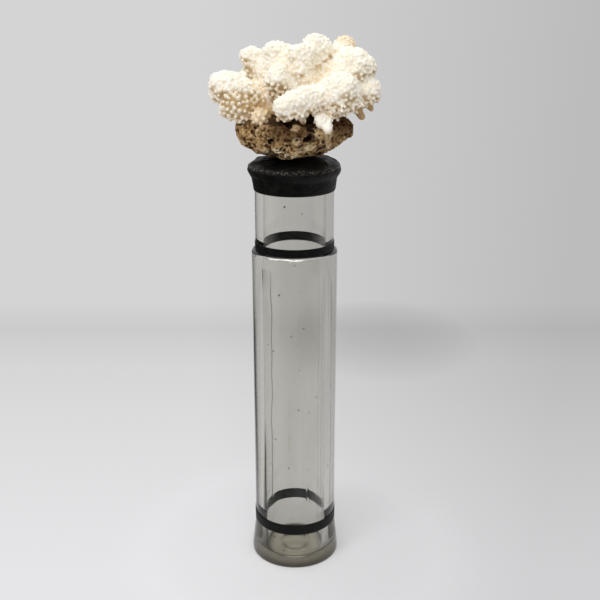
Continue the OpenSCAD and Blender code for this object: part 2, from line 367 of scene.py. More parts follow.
class Graph:
    """Node tree, with short calls for the nodes that trees share."""

    def __init__(self, owner: bpy.types.Material | bpy.types.World, output: str) -> None:
        """Starts a tree with nothing but its output.

        Args:
            owner: the material or world that the tree belongs to.
            output: type of the output node.
        """
        owner.use_nodes = True
        self.tree = owner.node_tree
        self.tree.nodes.clear()
        self.output = self.add(output)

    def add(self, kind: str, **settings: str) -> bpy.types.Node:
        """Adds a node and sets its options.

        Args:
            kind: type of node.
            settings: options by name.

        Returns:
            The node.
        """
        node = self.tree.nodes.new(kind)
        for name, value in settings.items():
            setattr(node, name, value)
        return node

    def feed(self, socket: bpy.types.NodeSocket, value: Sized) -> None:
        """Links a socket, or sets its value.

        Args:
            socket: the input.
            value: another node's output, a number or a colour.
        """
        if isinstance(value, bpy.types.NodeSocket):
            self.tree.links.new(value, socket)
        elif socket.type == "RGBA":
            socket.default_value = (*value, 1.0)
        else:
            socket.default_value = value

    def span(self, value: Sized, low: float, high: float, start: float = 0.0, end: float = 1.0) -> Sized:
        """Maps one range onto another and clamps it.

        Args:
            value: what is mapped.
            low: value that gives start.
            high: value that gives end.
            start: first result.
            end: last result.

        Returns:
            The mapped value.
        """
        node = self.add("ShaderNodeMapRange")
        for socket, number in zip(node.inputs, (value, low, high, start, end)):
            self.feed(socket, number)
        return node.outputs["Result"]

    def math(self, operation: str, first: Sized, second: Sized) -> Sized:
        """One sum, product or other operation on two values.

        Args:
            operation: name of the operation.
            first: first value.
            second: second value.

        Returns:
            The result.
        """
        node = self.add("ShaderNodeMath", operation=operation)
        self.feed(node.inputs[0], first)
        self.feed(node.inputs[1], second)
        return node.outputs[0]

    def times(self, first: Sized, second: Sized) -> Sized:
        """Product of two values."""
        return self.math("MULTIPLY", first, second)

    def plus(self, first: Sized, second: Sized) -> Sized:
        """Sum of two values."""
        return self.math("ADD", first, second)

    def less(self, first: Sized, second: Sized) -> Sized:
        """A value less another."""
        return self.math("SUBTRACT", first, second)

    def most(self, first: Sized, second: Sized) -> Sized:
        """The greater of two values."""
        return self.math("MAXIMUM", first, second)

    def fall(self, value: Sized, low: float, high: float) -> Sized:
        """Falls from 1 to 0 as a value goes from one bound to the other."""
        return self.span(value, low, high, 1.0, 0.0)

    def swing(self, clouds: Sized, start: float, end: float) -> Sized:
        """Maps the range that cloudy noise mostly keeps to onto another."""
        return self.span(clouds, *CLOUD_RANGE, start, end)

    def split(self, vector: Sized) -> tuple[Sized, ...]:
        """Splits a vector.

        Args:
            vector: the vector.

        Returns:
            Its three parts.
        """
        node = self.add("ShaderNodeSeparateXYZ")
        self.feed(node.inputs[0], vector)
        return tuple(node.outputs)

    def mix(self, share: Sized, first: Sized, second: Sized) -> Sized:
        """Blends two colours.

        Args:
            share: share of the second colour.
            first: first colour.
            second: second colour.

        Returns:
            The blend.
        """
        node = self.add("ShaderNodeMix", data_type="RGBA")
        by_name = {socket.identifier: socket for socket in node.inputs}
        self.feed(by_name["Factor_Float"], share)
        self.feed(by_name["A_Color"], first)
        self.feed(by_name["B_Color"], second)
        return next(socket for socket in node.outputs if socket.identifier == "Result_Color")

    def blend(self, share: Sized, first: Sized, second: Sized) -> Sized:
        """Blends two shaders.

        Args:
            share: share of the second shader.
            first: first shader.
            second: second shader.

        Returns:
            The blend.
        """
        node = self.add("ShaderNodeMixShader")
        for socket, value in zip(node.inputs, (share, first, second)):
            self.feed(socket, value)
        return node.outputs[0]

    def glow(self, kind: str, colour: Sized, strength: Sized) -> Sized:
        """A shader that gives off light.

        Args:
            kind: type of node, for a surface or for a sky.
            colour: its colour.
            strength: its strength.

        Returns:
            The shader.
        """
        node = self.add(kind)
        self.feed(node.inputs["Color"], colour)
        self.feed(node.inputs["Strength"], strength)
        return node.outputs[0]


class FinishGraph(Graph):
    """Node tree of one finish: a principled surface in the piece's own coordinates."""

    def __init__(self, name: str) -> None:
        """Starts a material.

        Args:
            name: name of the material.
        """
        self.material = bpy.data.materials.new(name)
        super().__init__(self.material, "ShaderNodeOutputMaterial")
        self.surface = self.add("ShaderNodeBsdfPrincipled")
        self.feed(self.output.inputs["Surface"], self.surface.outputs["BSDF"])
        self.place = self.add("ShaderNodeTexCoord").outputs["Object"]

    def dress(self, **values: Sized) -> None:
        """Feeds the surface's inputs, named with underscores for spaces."""
        for name, value in values.items():
            self.feed(self.surface.inputs[name.replace("_", " ")], value)

    def noise(self, scale: float, detail: float = 4.0, rough: float = 0.6, at: Sized | None = None) -> Sized:
        """Cloudy noise from 0 to 1.

        Args:
            scale: clouds in a metre.
            detail: finer layers.
            rough: weight of the finer layers.
            at: coordinates, the object's own if left out.

        Returns:
            The noise.
        """
        node = self.add("ShaderNodeTexNoise")
        values = {"Vector": at or self.place, "Scale": scale, "Detail": detail, "Roughness": rough}
        for name, value in values.items():
            self.feed(node.inputs[name], value)
        return node.outputs[0]

    def cells(self, scale: float, at: Sized | None = None) -> Sized:
        """Distance to the nearest of many scattered points.

        Args:
            scale: points in a metre.
            at: coordinates, the object's own if left out.

        Returns:
            The distance, as a share of the spacing.
        """
        node = self.add("ShaderNodeTexVoronoi")
        self.feed(node.inputs["Vector"], at or self.place)
        self.feed(node.inputs["Scale"], scale)
        return node.outputs["Distance"]

    def stretched(self, along: Place) -> Sized:
        """The object's own coordinates, scaled along each axis.

        Args:
            along: scale along X, Y and Z.

        Returns:
            The coordinates.
        """
        node = self.add("ShaderNodeMapping")
        self.feed(node.inputs["Vector"], self.place)
        node.inputs["Scale"].default_value = along
        return node.outputs["Vector"]

    def read(self, name: str) -> Sized:
        """A value that the mesh carries."""
        return self.add("ShaderNodeAttribute", attribute_name=name).outputs["Fac"]

    def bump(self, height: Sized, depth: float, strength: float = 1.0) -> None:
        """Gives the surface a relief.

        Args:
            height: relief from 0 to 1.
            depth: its depth in metres.
            strength: how much of it shows.
        """
        node = self.add("ShaderNodeBump")
        self.feed(node.inputs["Height"], height)
        self.feed(node.inputs["Distance"], depth)
        self.feed(node.inputs["Strength"], strength)
        self.dress(Normal=node.outputs["Normal"])


class FloorGraph(FinishGraph):
    """Node tree of the floor: where a point of it lies, and which rays meet it there."""

    def __init__(self) -> None:
        """Starts the floor's material."""
        super().__init__("studio_floor")
        self.x, self.y, _ = self.split(self.place)
        length = self.add("ShaderNodeVectorMath", operation="LENGTH")
        self.feed(length.inputs[0], self.place)
        self.distance = length.outputs["Value"]
        rays = self.add("ShaderNodeLightPath").outputs
        self.seen, self.glossy, self.through = (
            rays[f"Is {kind} Ray"] for kind in ("Camera", "Glossy", "Transmission")
        )


@dataclass(frozen=True)
class SmokyGlass:
    """Smoky glass, olive where thick, with stains, a few specks, and painted shade on its flow lines and
    edge.
    """

    slot: Slot = Slot.GLASS
    ior: float = 1.5
    cast: Colour = (0.915, 0.912, 0.89)
    stain: Colour = (0.62, 0.53, 0.36)
    speck: Colour = (0.05, 0.045, 0.03)
    # seam and edge are painted shade: along the flow lines, and where the wall is seen from the side.
    seam: Colour = (0.05, 0.055, 0.05)
    edge: Colour = (0.014, 0.018, 0.016)
    depth_tint: Colour = (0.425, 0.39, 0.29)
    depth_density: float = 18.0
    group_scale: float = 30.0
    group: Point = (0.46, 0.5)
    speck_scale: float = 62.0
    speck_size: Point = (0.04, 0.07)
    patch_scale: float = 45.0
    patch_stretch: Place = (1.0, 1.0, 0.25)
    patch: Point = (0.62, 0.78)
    streak_scale: float = 240.0
    streak_stretch: Place = (1.0, 1.0, 0.05)
    streak: Point = (0.5, 0.7)
    stain_share: float = 0.8
    # Where the painted edge shade shows: seen from the side, and on upright walls.
    aside: Point = (0.58, 0.74)
    upright: Point = (0.04, 0.2)

    def material(self) -> bpy.types.Material:
        """Builds the finish.

        Returns:
            The material.
        """
        graph = FinishGraph("smoky_glass")
        some = graph.span(graph.noise(self.group_scale, detail=3.0, rough=0.55), *self.group)
        specks = graph.times(graph.fall(graph.cells(self.speck_scale), *self.speck_size), some)
        patches = graph.noise(self.patch_scale, at=graph.stretched(self.patch_stretch))
        streaks = graph.noise(self.streak_scale, detail=3.0, at=graph.stretched(self.streak_stretch))
        stains = graph.times(graph.span(patches, *self.patch), graph.span(streaks, *self.streak))
        ground = graph.mix(graph.times(stains, self.stain_share), self.cast, self.stain)
        # Painted shade along the flow lines, for the light that they bend away.
        ground = graph.mix(graph.read("seam"), ground, self.seam)
        ground = graph.mix(specks, ground, self.speck)
        # The edge's colour is painted shade where an upright wall is seen from the side.
        graph.dress(
            Base_Color=graph.mix(self.edges(graph), ground, self.edge),
            Roughness=0.0, IOR=self.ior, Transmission_Weight=1.0,
        )
        absorb = graph.add("ShaderNodeVolumeAbsorption")
        graph.feed(absorb.inputs["Color"], self.depth_tint)
        graph.feed(absorb.inputs["Density"], self.depth_density)
        graph.feed(graph.output.inputs["Volume"], absorb.outputs["Volume"])
        return graph.material

    def edges(self, graph: FinishGraph) -> Sized:
        """How much of the edge's colour, painted shade, shows where an upright wall is seen from the side.

        Args:
            graph: the finish's graph.

        Returns:
            The share.
        """
        _, _, up = graph.split(graph.add("ShaderNodeNewGeometry").outputs["Normal"])
        upright = graph.fall(graph.math("POWER", up, 2.0), *self.upright)
        aside = graph.span(graph.add("ShaderNodeLayerWeight").outputs["Facing"], *self.aside)
        return graph.times(graph.times(aside, upright), graph.read("edge"))


@dataclass(frozen=True)
class BlackBandFinish:
    """Satin black of the bands, with fine lines round the jar."""

    slot: Slot = Slot.BAND
    black: Colour = shade(15, 15, 16)
    worn: Colour = shade(38, 39, 40)
    line_scale: float = 900.0
    line_stretch: Place = (0.03, 0.03, 1.0)
    wear_scale: float = 220.0
    wear: Point = (0.5, 0.75)
    roughness: Point = (0.38, 0.6)
    relief: float = 0.1 * MM

    def material(self) -> bpy.types.Material:
        """Builds the finish.

        Returns:
            The material.
        """
        graph = FinishGraph("black_band")
        lines = graph.noise(self.line_scale, 2.0, 0.5, graph.stretched(self.line_stretch))
        wear = graph.span(graph.noise(self.wear_scale, rough=0.65), *self.wear)
        graph.dress(
            Base_Color=graph.mix(graph.times(wear, lines), self.black, self.worn),
            Roughness=graph.swing(lines, *self.roughness),
            Specular_IOR_Level=0.14,
        )
        graph.bump(lines, self.relief)
        return graph.material


@dataclass(frozen=True)
class BlackWaxFinish:
    """Hand-formed black wax, paler in flecks along its crests and dusted with specks."""

    slot: Slot = Slot.WAX
    black: Colour = shade(12, 12, 11)
    dull: Colour = shade(30, 29, 27)
    # Paler colour in flecks along the crest of the flange.
    crest_pale: Colour = shade(128, 121, 108)
    cloud_scale: float = 130.0
    dusty: Point = (0.42, 0.75)
    grain_scale: float = 700.0
    grain_share: float = 0.35
    crest_fleck: Point = (0.5, 0.72)
    speck_scale: float = 210.0
    speck_size: Point = (0.09, 0.16)
    speck_share: float = 0.6
    speck_group: Point = (0.52, 0.62)
    roughness: Point = (0.34, 0.6)
    relief: float = 0.9 * MM
    relief_share: float = 0.7

    def material(self) -> bpy.types.Material:
        """Builds the finish.

        Returns:
            The material.
        """
        graph = FinishGraph("black_wax")
        clouds = graph.noise(self.cloud_scale, detail=5.0)
        grain = graph.noise(self.grain_scale, detail=3.0)
        ground = graph.mix(graph.span(clouds, *self.dusty), self.black, self.dull)
        crest_flecks = graph.times(graph.read("crest"), graph.span(grain, *self.crest_fleck))
        specks = graph.span(graph.cells(self.speck_scale), *self.speck_size, self.speck_share, 0.0)
        specks = graph.times(specks, graph.span(clouds, *self.speck_group))
        graph.dress(
            Base_Color=graph.mix(graph.most(crest_flecks, specks), ground, self.crest_pale),
            Roughness=graph.swing(clouds, *self.roughness),
            Specular_IOR_Level=0.14,
        )
        height = graph.plus(clouds, graph.times(grain, self.grain_share))
        graph.bump(height, self.relief, self.relief_share)
        return graph.material


@dataclass(frozen=True)
class CoralCrust:
    """Chalky coral: white knobs, brown stems, and painted shade between knobs, in hollows and beneath."""

    slot: Slot = Slot.CORAL
    tip: Colour = shade(255, 251, 241)
    # Painted shade low between the knobs.
    crease: Colour = shade(250, 241, 221)
    # Painted shade in sheltered hollows.
    deep: Colour = shade(226, 198, 148)
    # Painted shade on the undersides and on the lobes listed as shaded.
    under: Colour = shade(184, 156, 112)
    stem: Colour = shade(204, 173, 127)
    stain: Colour = shade(174, 141, 98)
    tan: Colour = shade(240, 220, 184)
    # Painted shade on the knobs' tips beneath.
    painted_tip_shade: Colour = shade(234, 217, 186)
    patch_scale: float = 60.0
    patch_swing: float = 0.1
    crest: Point = (0.15, 0.65)
    stained: Point = (0.42, 0.66)
    painted_tip_shade_share: float = 0.6
    tan_share: float = 0.8
    pore_scale: float = 1500.0
    grit_scale: float = 900.0
    relief: float = 0.25 * MM
    relief_share: float = 0.6

    def material(self) -> bpy.types.Material:
        """Builds the finish.

        Returns:
            The material.
        """
        graph = FinishGraph("coral_crust")
        patches = graph.noise(self.patch_scale)
        # Painted shade: cream low between the knobs, darker in hollows, beige beneath, on the tips there too.
        under = graph.read("under")
        rise = graph.plus(graph.read("rise"), graph.swing(patches, -self.patch_swing, self.patch_swing))
        low = graph.mix(graph.read("deep"), self.crease, self.deep)
        low = graph.mix(under, low, self.under)
        top = graph.mix(graph.times(under, self.painted_tip_shade_share), self.tip, self.painted_tip_shade)
        skin = graph.mix(graph.span(rise, *self.crest), low, top)
        skin = graph.mix(graph.times(graph.read("tan"), self.tan_share), skin, self.tan)
        bare = graph.mix(graph.span(patches, *self.stained), self.stem, self.stain)
        skin = graph.mix(graph.read("stem"), skin, bare)
        # The stain's colour in the hollow finger tip is painted shade.
        graph.dress(
            Base_Color=graph.mix(graph.read("brown"), skin, self.stain),
            Roughness=0.85,
            Specular_IOR_Level=0.2,
        )
        grit = graph.noise(self.grit_scale, detail=3.0, rough=0.55)
        graph.bump(graph.plus(graph.cells(self.pore_scale), grit), self.relief, self.relief_share)
        return graph.material


@dataclass(frozen=True)
class RockCrust:
    """Brown reef rock, pale on its crusts, with painted shade in pits and painted highlights on ridges."""

    slot: Slot = Slot.ROCK
    # Painted shade in pits, small holes, sheltered hollows and caves.
    pit: Colour = shade(30, 16, 7)
    umber: Colour = shade(74, 48, 25)
    ochre: Colour = shade(174, 140, 93)
    crust: Colour = shade(224, 206, 172)
    patch_scale: float = 70.0
    patch_swing: float = 0.35
    grain_scale: float = 420.0
    grain_swing: float = 0.3
    light: Point = (0.15, 0.8)
    crusted: Point = (0.36, 0.56)
    fleck: Point = (0.52, 0.66)
    fleck_tone: Point = (0.6, 1.0)
    # Small holes with painted shade.
    hole_scale: float = 300.0
    hole_size: Point = (0.1, 0.24)
    hole_share: float = 0.85
    hole_depth: Point = (0.0, 0.4)
    relief: float = 0.9 * MM

    def material(self) -> bpy.types.Material:
        """Builds the finish.

        Returns:
            The material.
        """
        graph = FinishGraph("rock_crust")
        grain = graph.noise(self.grain_scale, detail=5.0, rough=0.7)
        painted_dark_holes = graph.cells(self.hole_scale)
        # Lighter tone on crests: a painted highlight on the ridges, and the pillars' own tan.
        tone = graph.read("crest")
        for clouds, most in ((graph.noise(self.patch_scale), self.patch_swing), (grain, self.grain_swing)):
            tone = graph.plus(tone, graph.swing(clouds, -most, most))
        ground = graph.mix(graph.span(tone, *self.light), self.umber, self.ochre)
        pale = graph.times(graph.read("pale"), graph.span(grain, *self.crusted))
        flecks = graph.times(graph.span(grain, *self.fleck), graph.span(tone, *self.fleck_tone))
        ground = graph.mix(graph.most(pale, flecks), ground, self.crust)
        # Painted shadow of the coral on the rock's upper part.
        ground = graph.mix(graph.read("painted_shadow"), ground, self.umber)
        # Painted shade in small holes, and in the pits, hollows and caves that the mesh marks.
        dark = graph.span(painted_dark_holes, *self.hole_size, self.hole_share, 0.0)
        graph.dress(
            Base_Color=graph.mix(graph.most(graph.read("pit"), dark), ground, self.pit),
            Roughness=0.9,
            Specular_IOR_Level=0.15,
        )
        graph.bump(graph.plus(grain, graph.span(painted_dark_holes, *self.hole_depth)), self.relief)
        return graph.material


@dataclass(frozen=True)
class CorkFinish:
    """Raw cork with dark lenticels and a fine grain."""

    slot: Slot = Slot.CORK
    light: Colour = shade(200, 160, 112)
    brown: Colour = shade(158, 112, 70)
    dark: Colour = shade(82, 50, 28)
    grain_scale: float = 520.0
    cloud_scale: float = 160.0
    pore_scale: float = 260.0
    pore_stretch: Place = (1.0, 1.0, 0.3)
    pore_edge: Point = (0.64, 0.7)
    relief: float = 0.5 * MM

    def material(self) -> bpy.types.Material:
        """Builds the finish.

        Returns:
            The material.
        """
        graph = FinishGraph("cork")
        grain = graph.cells(self.grain_scale)
        pores = graph.noise(self.pore_scale, detail=3.0, at=graph.stretched(self.pore_stretch))
        pores = graph.span(pores, *self.pore_edge)
        body = graph.mix(graph.times(grain, graph.noise(self.cloud_scale)), self.light, self.brown)
        graph.dress(Base_Color=graph.mix(pores, body, self.dark), Roughness=0.85)
        graph.bump(graph.less(grain, pores), self.relief)
        return graph.material


@dataclass(frozen=True)
class LeatherFinish:
    """Oiled leather of the washer."""

    slot: Slot = Slot.LEATHER
    tan: Colour = shade(122, 82, 48)
    dark: Colour = shade(62, 38, 22)
    pebble_scale: float = 900.0
    cloud_scale: float = 140.0
    oiled: Point = (0.35, 0.7)
    roughness: Point = (0.5, 0.7)
    relief: float = 0.15 * MM

    def material(self) -> bpy.types.Material:
        """Builds the finish.

        Returns:
            The material.
        """
        graph = FinishGraph("washer_leather")
        clouds = graph.noise(self.cloud_scale)
        graph.dress(
            Base_Color=graph.mix(graph.span(clouds, *self.oiled), self.tan, self.dark),
            Roughness=graph.swing(clouds, *self.roughness),
        )
        graph.bump(graph.cells(self.pebble_scale), self.relief)
        return graph.material


@dataclass(frozen=True)
class SteelFinish:
    """Bare steel rod with drawing lines and a little rust."""

    slot: Slot = Slot.STEEL
    bright: Colour = shade(190, 190, 194)
    rust: Colour = shade(120, 78, 48)
    line_scale: float = 2600.0
    line_stretch: Place = (1.0, 1.0, 0.02)
    rust_scale: float = 400.0
    rusted: Point = (0.6, 0.72)
    roughness: Point = (0.25, 0.42)
    relief: float = 0.03 * MM

    def material(self) -> bpy.types.Material:
        """Builds the finish.

        Returns:
            The material.
        """
        graph = FinishGraph("pin_steel")
        lines = graph.noise(self.line_scale, 2.0, 0.5, graph.stretched(self.line_stretch))
        rusty = graph.span(graph.noise(self.rust_scale, rough=0.7), *self.rusted)
        graph.dress(
            Base_Color=graph.mix(rusty, self.bright, self.rust),
            Metallic=graph.fall(rusty, 0.0, 1.0),
            Roughness=graph.swing(lines, *self.roughness),
        )
        graph.bump(lines, self.relief)
        return graph.material


Finish = (
    SmokyGlass | BlackBandFinish | BlackWaxFinish | CoralCrust
    | RockCrust | CorkFinish | LeatherFinish | SteelFinish
)


def lay_piece(node: Node, mesh: BMesh | bpy.types.Mesh, finish: Finish, body: Body) -> None:
    """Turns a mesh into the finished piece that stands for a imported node.

    Args:
        node: the node, whose name the piece takes.
        mesh: the piece's mesh, which is used up.
        finish: its finish.
        body: the body that it rides on.
    """
    name = node.value + "_look"
    data = baked(mesh, name) if isinstance(mesh, BMesh) else mesh
    data.name = name
    data.polygons.foreach_set("use_smooth", [True] * len(data.polygons))
    data.materials.clear()
    data.materials.append(finish.material())
    piece = placed(name, data)
    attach(piece, body.value)
    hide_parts(node.value)
    data.calc_loop_triangles()
    LOG.info("%s: %d triangles, on %s", name, len(data.loop_triangles), body.value)


def reach(node: Node) -> tuple[float, float, float]:
    """Half width, lowest and highest height of a round node."""
    low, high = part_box(node.value)
    return (high.x - low.x) / 2, low.z, high.z


@dataclass(frozen=True)
class Crease:
    """A flow line down the inside of the glass.

    Turns are in degrees from the front, heights in metres; shade is the painted shade along it.
    """

    turn: float
    half_turn: float
    height: float
    foot: float
    head: float
    shade: float
    wander: float = 2.2


@dataclass
class Vessel:
    """The glass: a flared foot with a ground hollow under it, a thick round body, a shoulder and a neck."""

    band_t: float = 0.4 * MM
    neck_wall: float = 6.5 * MM
    body_wall: float = 9.0 * MM
    shoulder_r: float = 2.2 * MM
    lip_r: float = 1.5 * MM
    base_edge_r: float = 1.2 * MM
    base_rim_h: float = 5.0 * MM
    floor_h: float = 5.0 * MM
    floor_corner_r: float = 3.0 * MM
    pontil_r: float = 15.0 * MM
    pontil_depth: float = 2.0 * MM
    columns: int = 480
    row: float = 6.0 * MM
    hollow_steps: int = 12
    edge_steps: int = 5
    shoulder_steps: int = 8
    bend_steps: int = 6
    outer_wave: Relief = Relief(0.1 * MM, 14.0 * MM, 0.22)
    inner_wave: Relief = Relief(0.1 * MM, 14.0 * MM, 0.22, 3.0)
    streak: Relief = Relief(0.05 * MM, 3.5 * MM, 0.03)
    wander_size: float = 30.0 * MM
    creases: tuple[Crease, ...] = (
        Crease(-40.5, 1.0, 0.1 * MM, 0.05, 0.27, 0.95, 5.5),
        Crease(21.9, 1.1, 0.2 * MM, 0.008, 0.12, 0.0),
        Crease(42.0, 1.0, 0.05 * MM, 0.03, 0.27, 0.3),
        Crease(48.4, 1.0, 0.05 * MM, 0.05, 0.25, 0.4),
        Crease(53.0, 1.0, 0.06 * MM, 0.02, 0.27, 0.3),
        Crease(66.0, 1.2, 0.08 * MM, 0.02, 0.25, 0.2),
        Crease(76.0, 1.2, 0.08 * MM, 0.03, 0.27, 0.2),
        Crease(-72.0, 1.2, 0.06 * MM, 0.03, 0.27, 0.2),
    )
    crease_fade: float = 0.02
    crease_reach: float = 3.0
    # Painted shade on the outside where the wall is seen from the side, strongest on its left.
    edge_side: float = 0.35
    edge_turn: float = -90.0
    edge_width: Point = (45.0, 25.0)
    edge_top: Point = (0.27, 0.2)

    def outline(self) -> list[Point]:
        """Outline of the glass from the hollow under its foot, up outside and down inside.

        Returns:
            Radius and height of each point.
        """
        foot_r, _, rim_z = reach(Node.GLASS)
        self.body_r = reach(Node.FOOT_BAND)[0] - self.band_t
        self.neck_r, self.shoulder_z, _ = reach(Node.NECK_BAND)
        self.neck_r -= self.band_t
        self.bore_r = self.body_r - self.body_wall
        foot_h = reach(Node.FOOT_BAND)[1]
        mouth_r = self.neck_r - self.neck_wall
        ball_r = (self.pontil_r ** 2 + self.pontil_depth ** 2) / (2 * self.pontil_depth)
        ball_z = self.pontil_depth - ball_r
        edge, lip, corner = self.base_edge_r, self.lip_r, self.floor_corner_r
        bend, steps = self.shoulder_r, self.bend_steps
        inner_top = self.shoulder_z - self.body_wall
        return refine(
            arc((0, ball_z), ball_r, 90, math.degrees(math.asin(-ball_z / ball_r)), self.hollow_steps)
            + arc((foot_r - edge, edge), edge, -90, 0, self.edge_steps)
            + [(foot_r, self.base_rim_h), (self.body_r, foot_h)]
            + arc((self.body_r - bend, self.shoulder_z - bend), bend, 0, 90, self.shoulder_steps)
            + [(self.neck_r, self.shoulder_z)]
            + arc((self.neck_r - lip, rim_z - lip), lip, 0, 90, steps)
            + arc((mouth_r + lip, rim_z - lip), lip, 90, 180, steps)
            + [(mouth_r, self.shoulder_z), (self.bore_r, inner_top)]
            + arc((self.bore_r - corner, self.floor_h + corner), corner, 0, -90, steps)
            + [(0, self.floor_h)],
            self.row,
        )

    def build(self) -> None:
        """Spins the glass, waves its walls, draws the flow lines, marks where shade is painted and lays it
        out.
        """
        mesh = turned(self.outline(), steps=self.columns)
        # Layers of painted shade: along the flow lines, and on the outside where seen from the side.
        seam = mesh.verts.layers.float.new("seam")
        edge = mesh.verts.layers.float.new("edge")
        for corner in mesh.verts:
            place = corner.co
            radius = math.hypot(place.x, place.y)
            if radius < self.pontil_r or place.z < self.base_rim_h:
                continue
            inside = radius < self.bore_r + MERGE and self.floor_h < place.z < self.shoulder_z
            if inside:
                height, corner[seam] = self.flow_line(place)
                swell = self.inner_wave.at(place) + self.streak.at(place) - height
            else:
                corner[edge] = self.painted_edge_shade(place)
                swell = self.outer_wave.at(place)
            place.xy *= 1 + swell / radius
        lay_piece(Node.GLASS, mesh, SmokyGlass(), Body.VESSEL)

    def painted_edge_shade(self, place: Vector) -> float:
        """How much shade is painted on the outside of the glass where seen from the side: most on its left.

        Args:
            place: a place on the outside.

        Returns:
            The share of the edge's colour there.
        """
        turn = abs(math.degrees(math.atan2(place.x, -place.y)) - self.edge_turn)
        left = ease(*self.edge_width, turn) * ease(*self.edge_top, place.z)
        return self.edge_side + (1 - self.edge_side) * left

    def flow_line(self, place: Vector) -> tuple[float, float]:
        """How far the flow lines stand in from the wall at a place, and how much shade is painted on them.

        Args:
            place: a place on the inside of the body.

        Returns:
            The height and the painted shade there.
        """
        drift = ripple(Vector((0, 0, place.z)), self.wander_size)
        turn = math.degrees(math.atan2(place.x, -place.y))
        height = shade_there = 0.0
        for crease in self.creases:
            off = (turn + crease.wander * drift - crease.turn) / crease.half_turn
            if abs(off) < self.crease_reach:
                share = ease(crease.foot, crease.foot + self.crease_fade, place.z)
                share *= ease(crease.head, crease.head - self.crease_fade, place.z) * math.exp(-off ** 2)
                height += crease.height * share
                shade_there += crease.shade * share
        return height, shade_there


@dataclass
class Bands:
    """The two black bands round the glass."""

    t: float = 0.4 * MM
    bite: float = 0.05 * MM
    ridge: float = 0.06 * MM
    ridge_pitch: float = 1.1 * MM
    edge_wander: float = 0.12 * MM
    wander_size: float = 7.0 * MM

    def build(self) -> None:
        """Winds both bands and lays them out."""
        for node in (Node.NECK_BAND, Node.FOOT_BAND):
            outer, low, high = reach(node)
            ridges = round((high - low) / self.ridge_pitch)
            face = [
                (outer - (self.ridge if i % 2 else 0.0), low + (high - low) * i / (2 * ridges))
                for i in range(2 * ridges + 1)
            ]
            back = outer - self.t - self.bite
            mesh = turned([(back, low), *face, (back, high), (back, low)])
            for corner in mesh.verts:
                near_top = ease(low, high, corner.co.z) - 0.5
                corner.co.z -= near_top * self.edge_wander * (1 + ripple(corner.co, self.wander_size))
            lay_piece(node, mesh, BlackBandFinish(), Body.VESSEL)


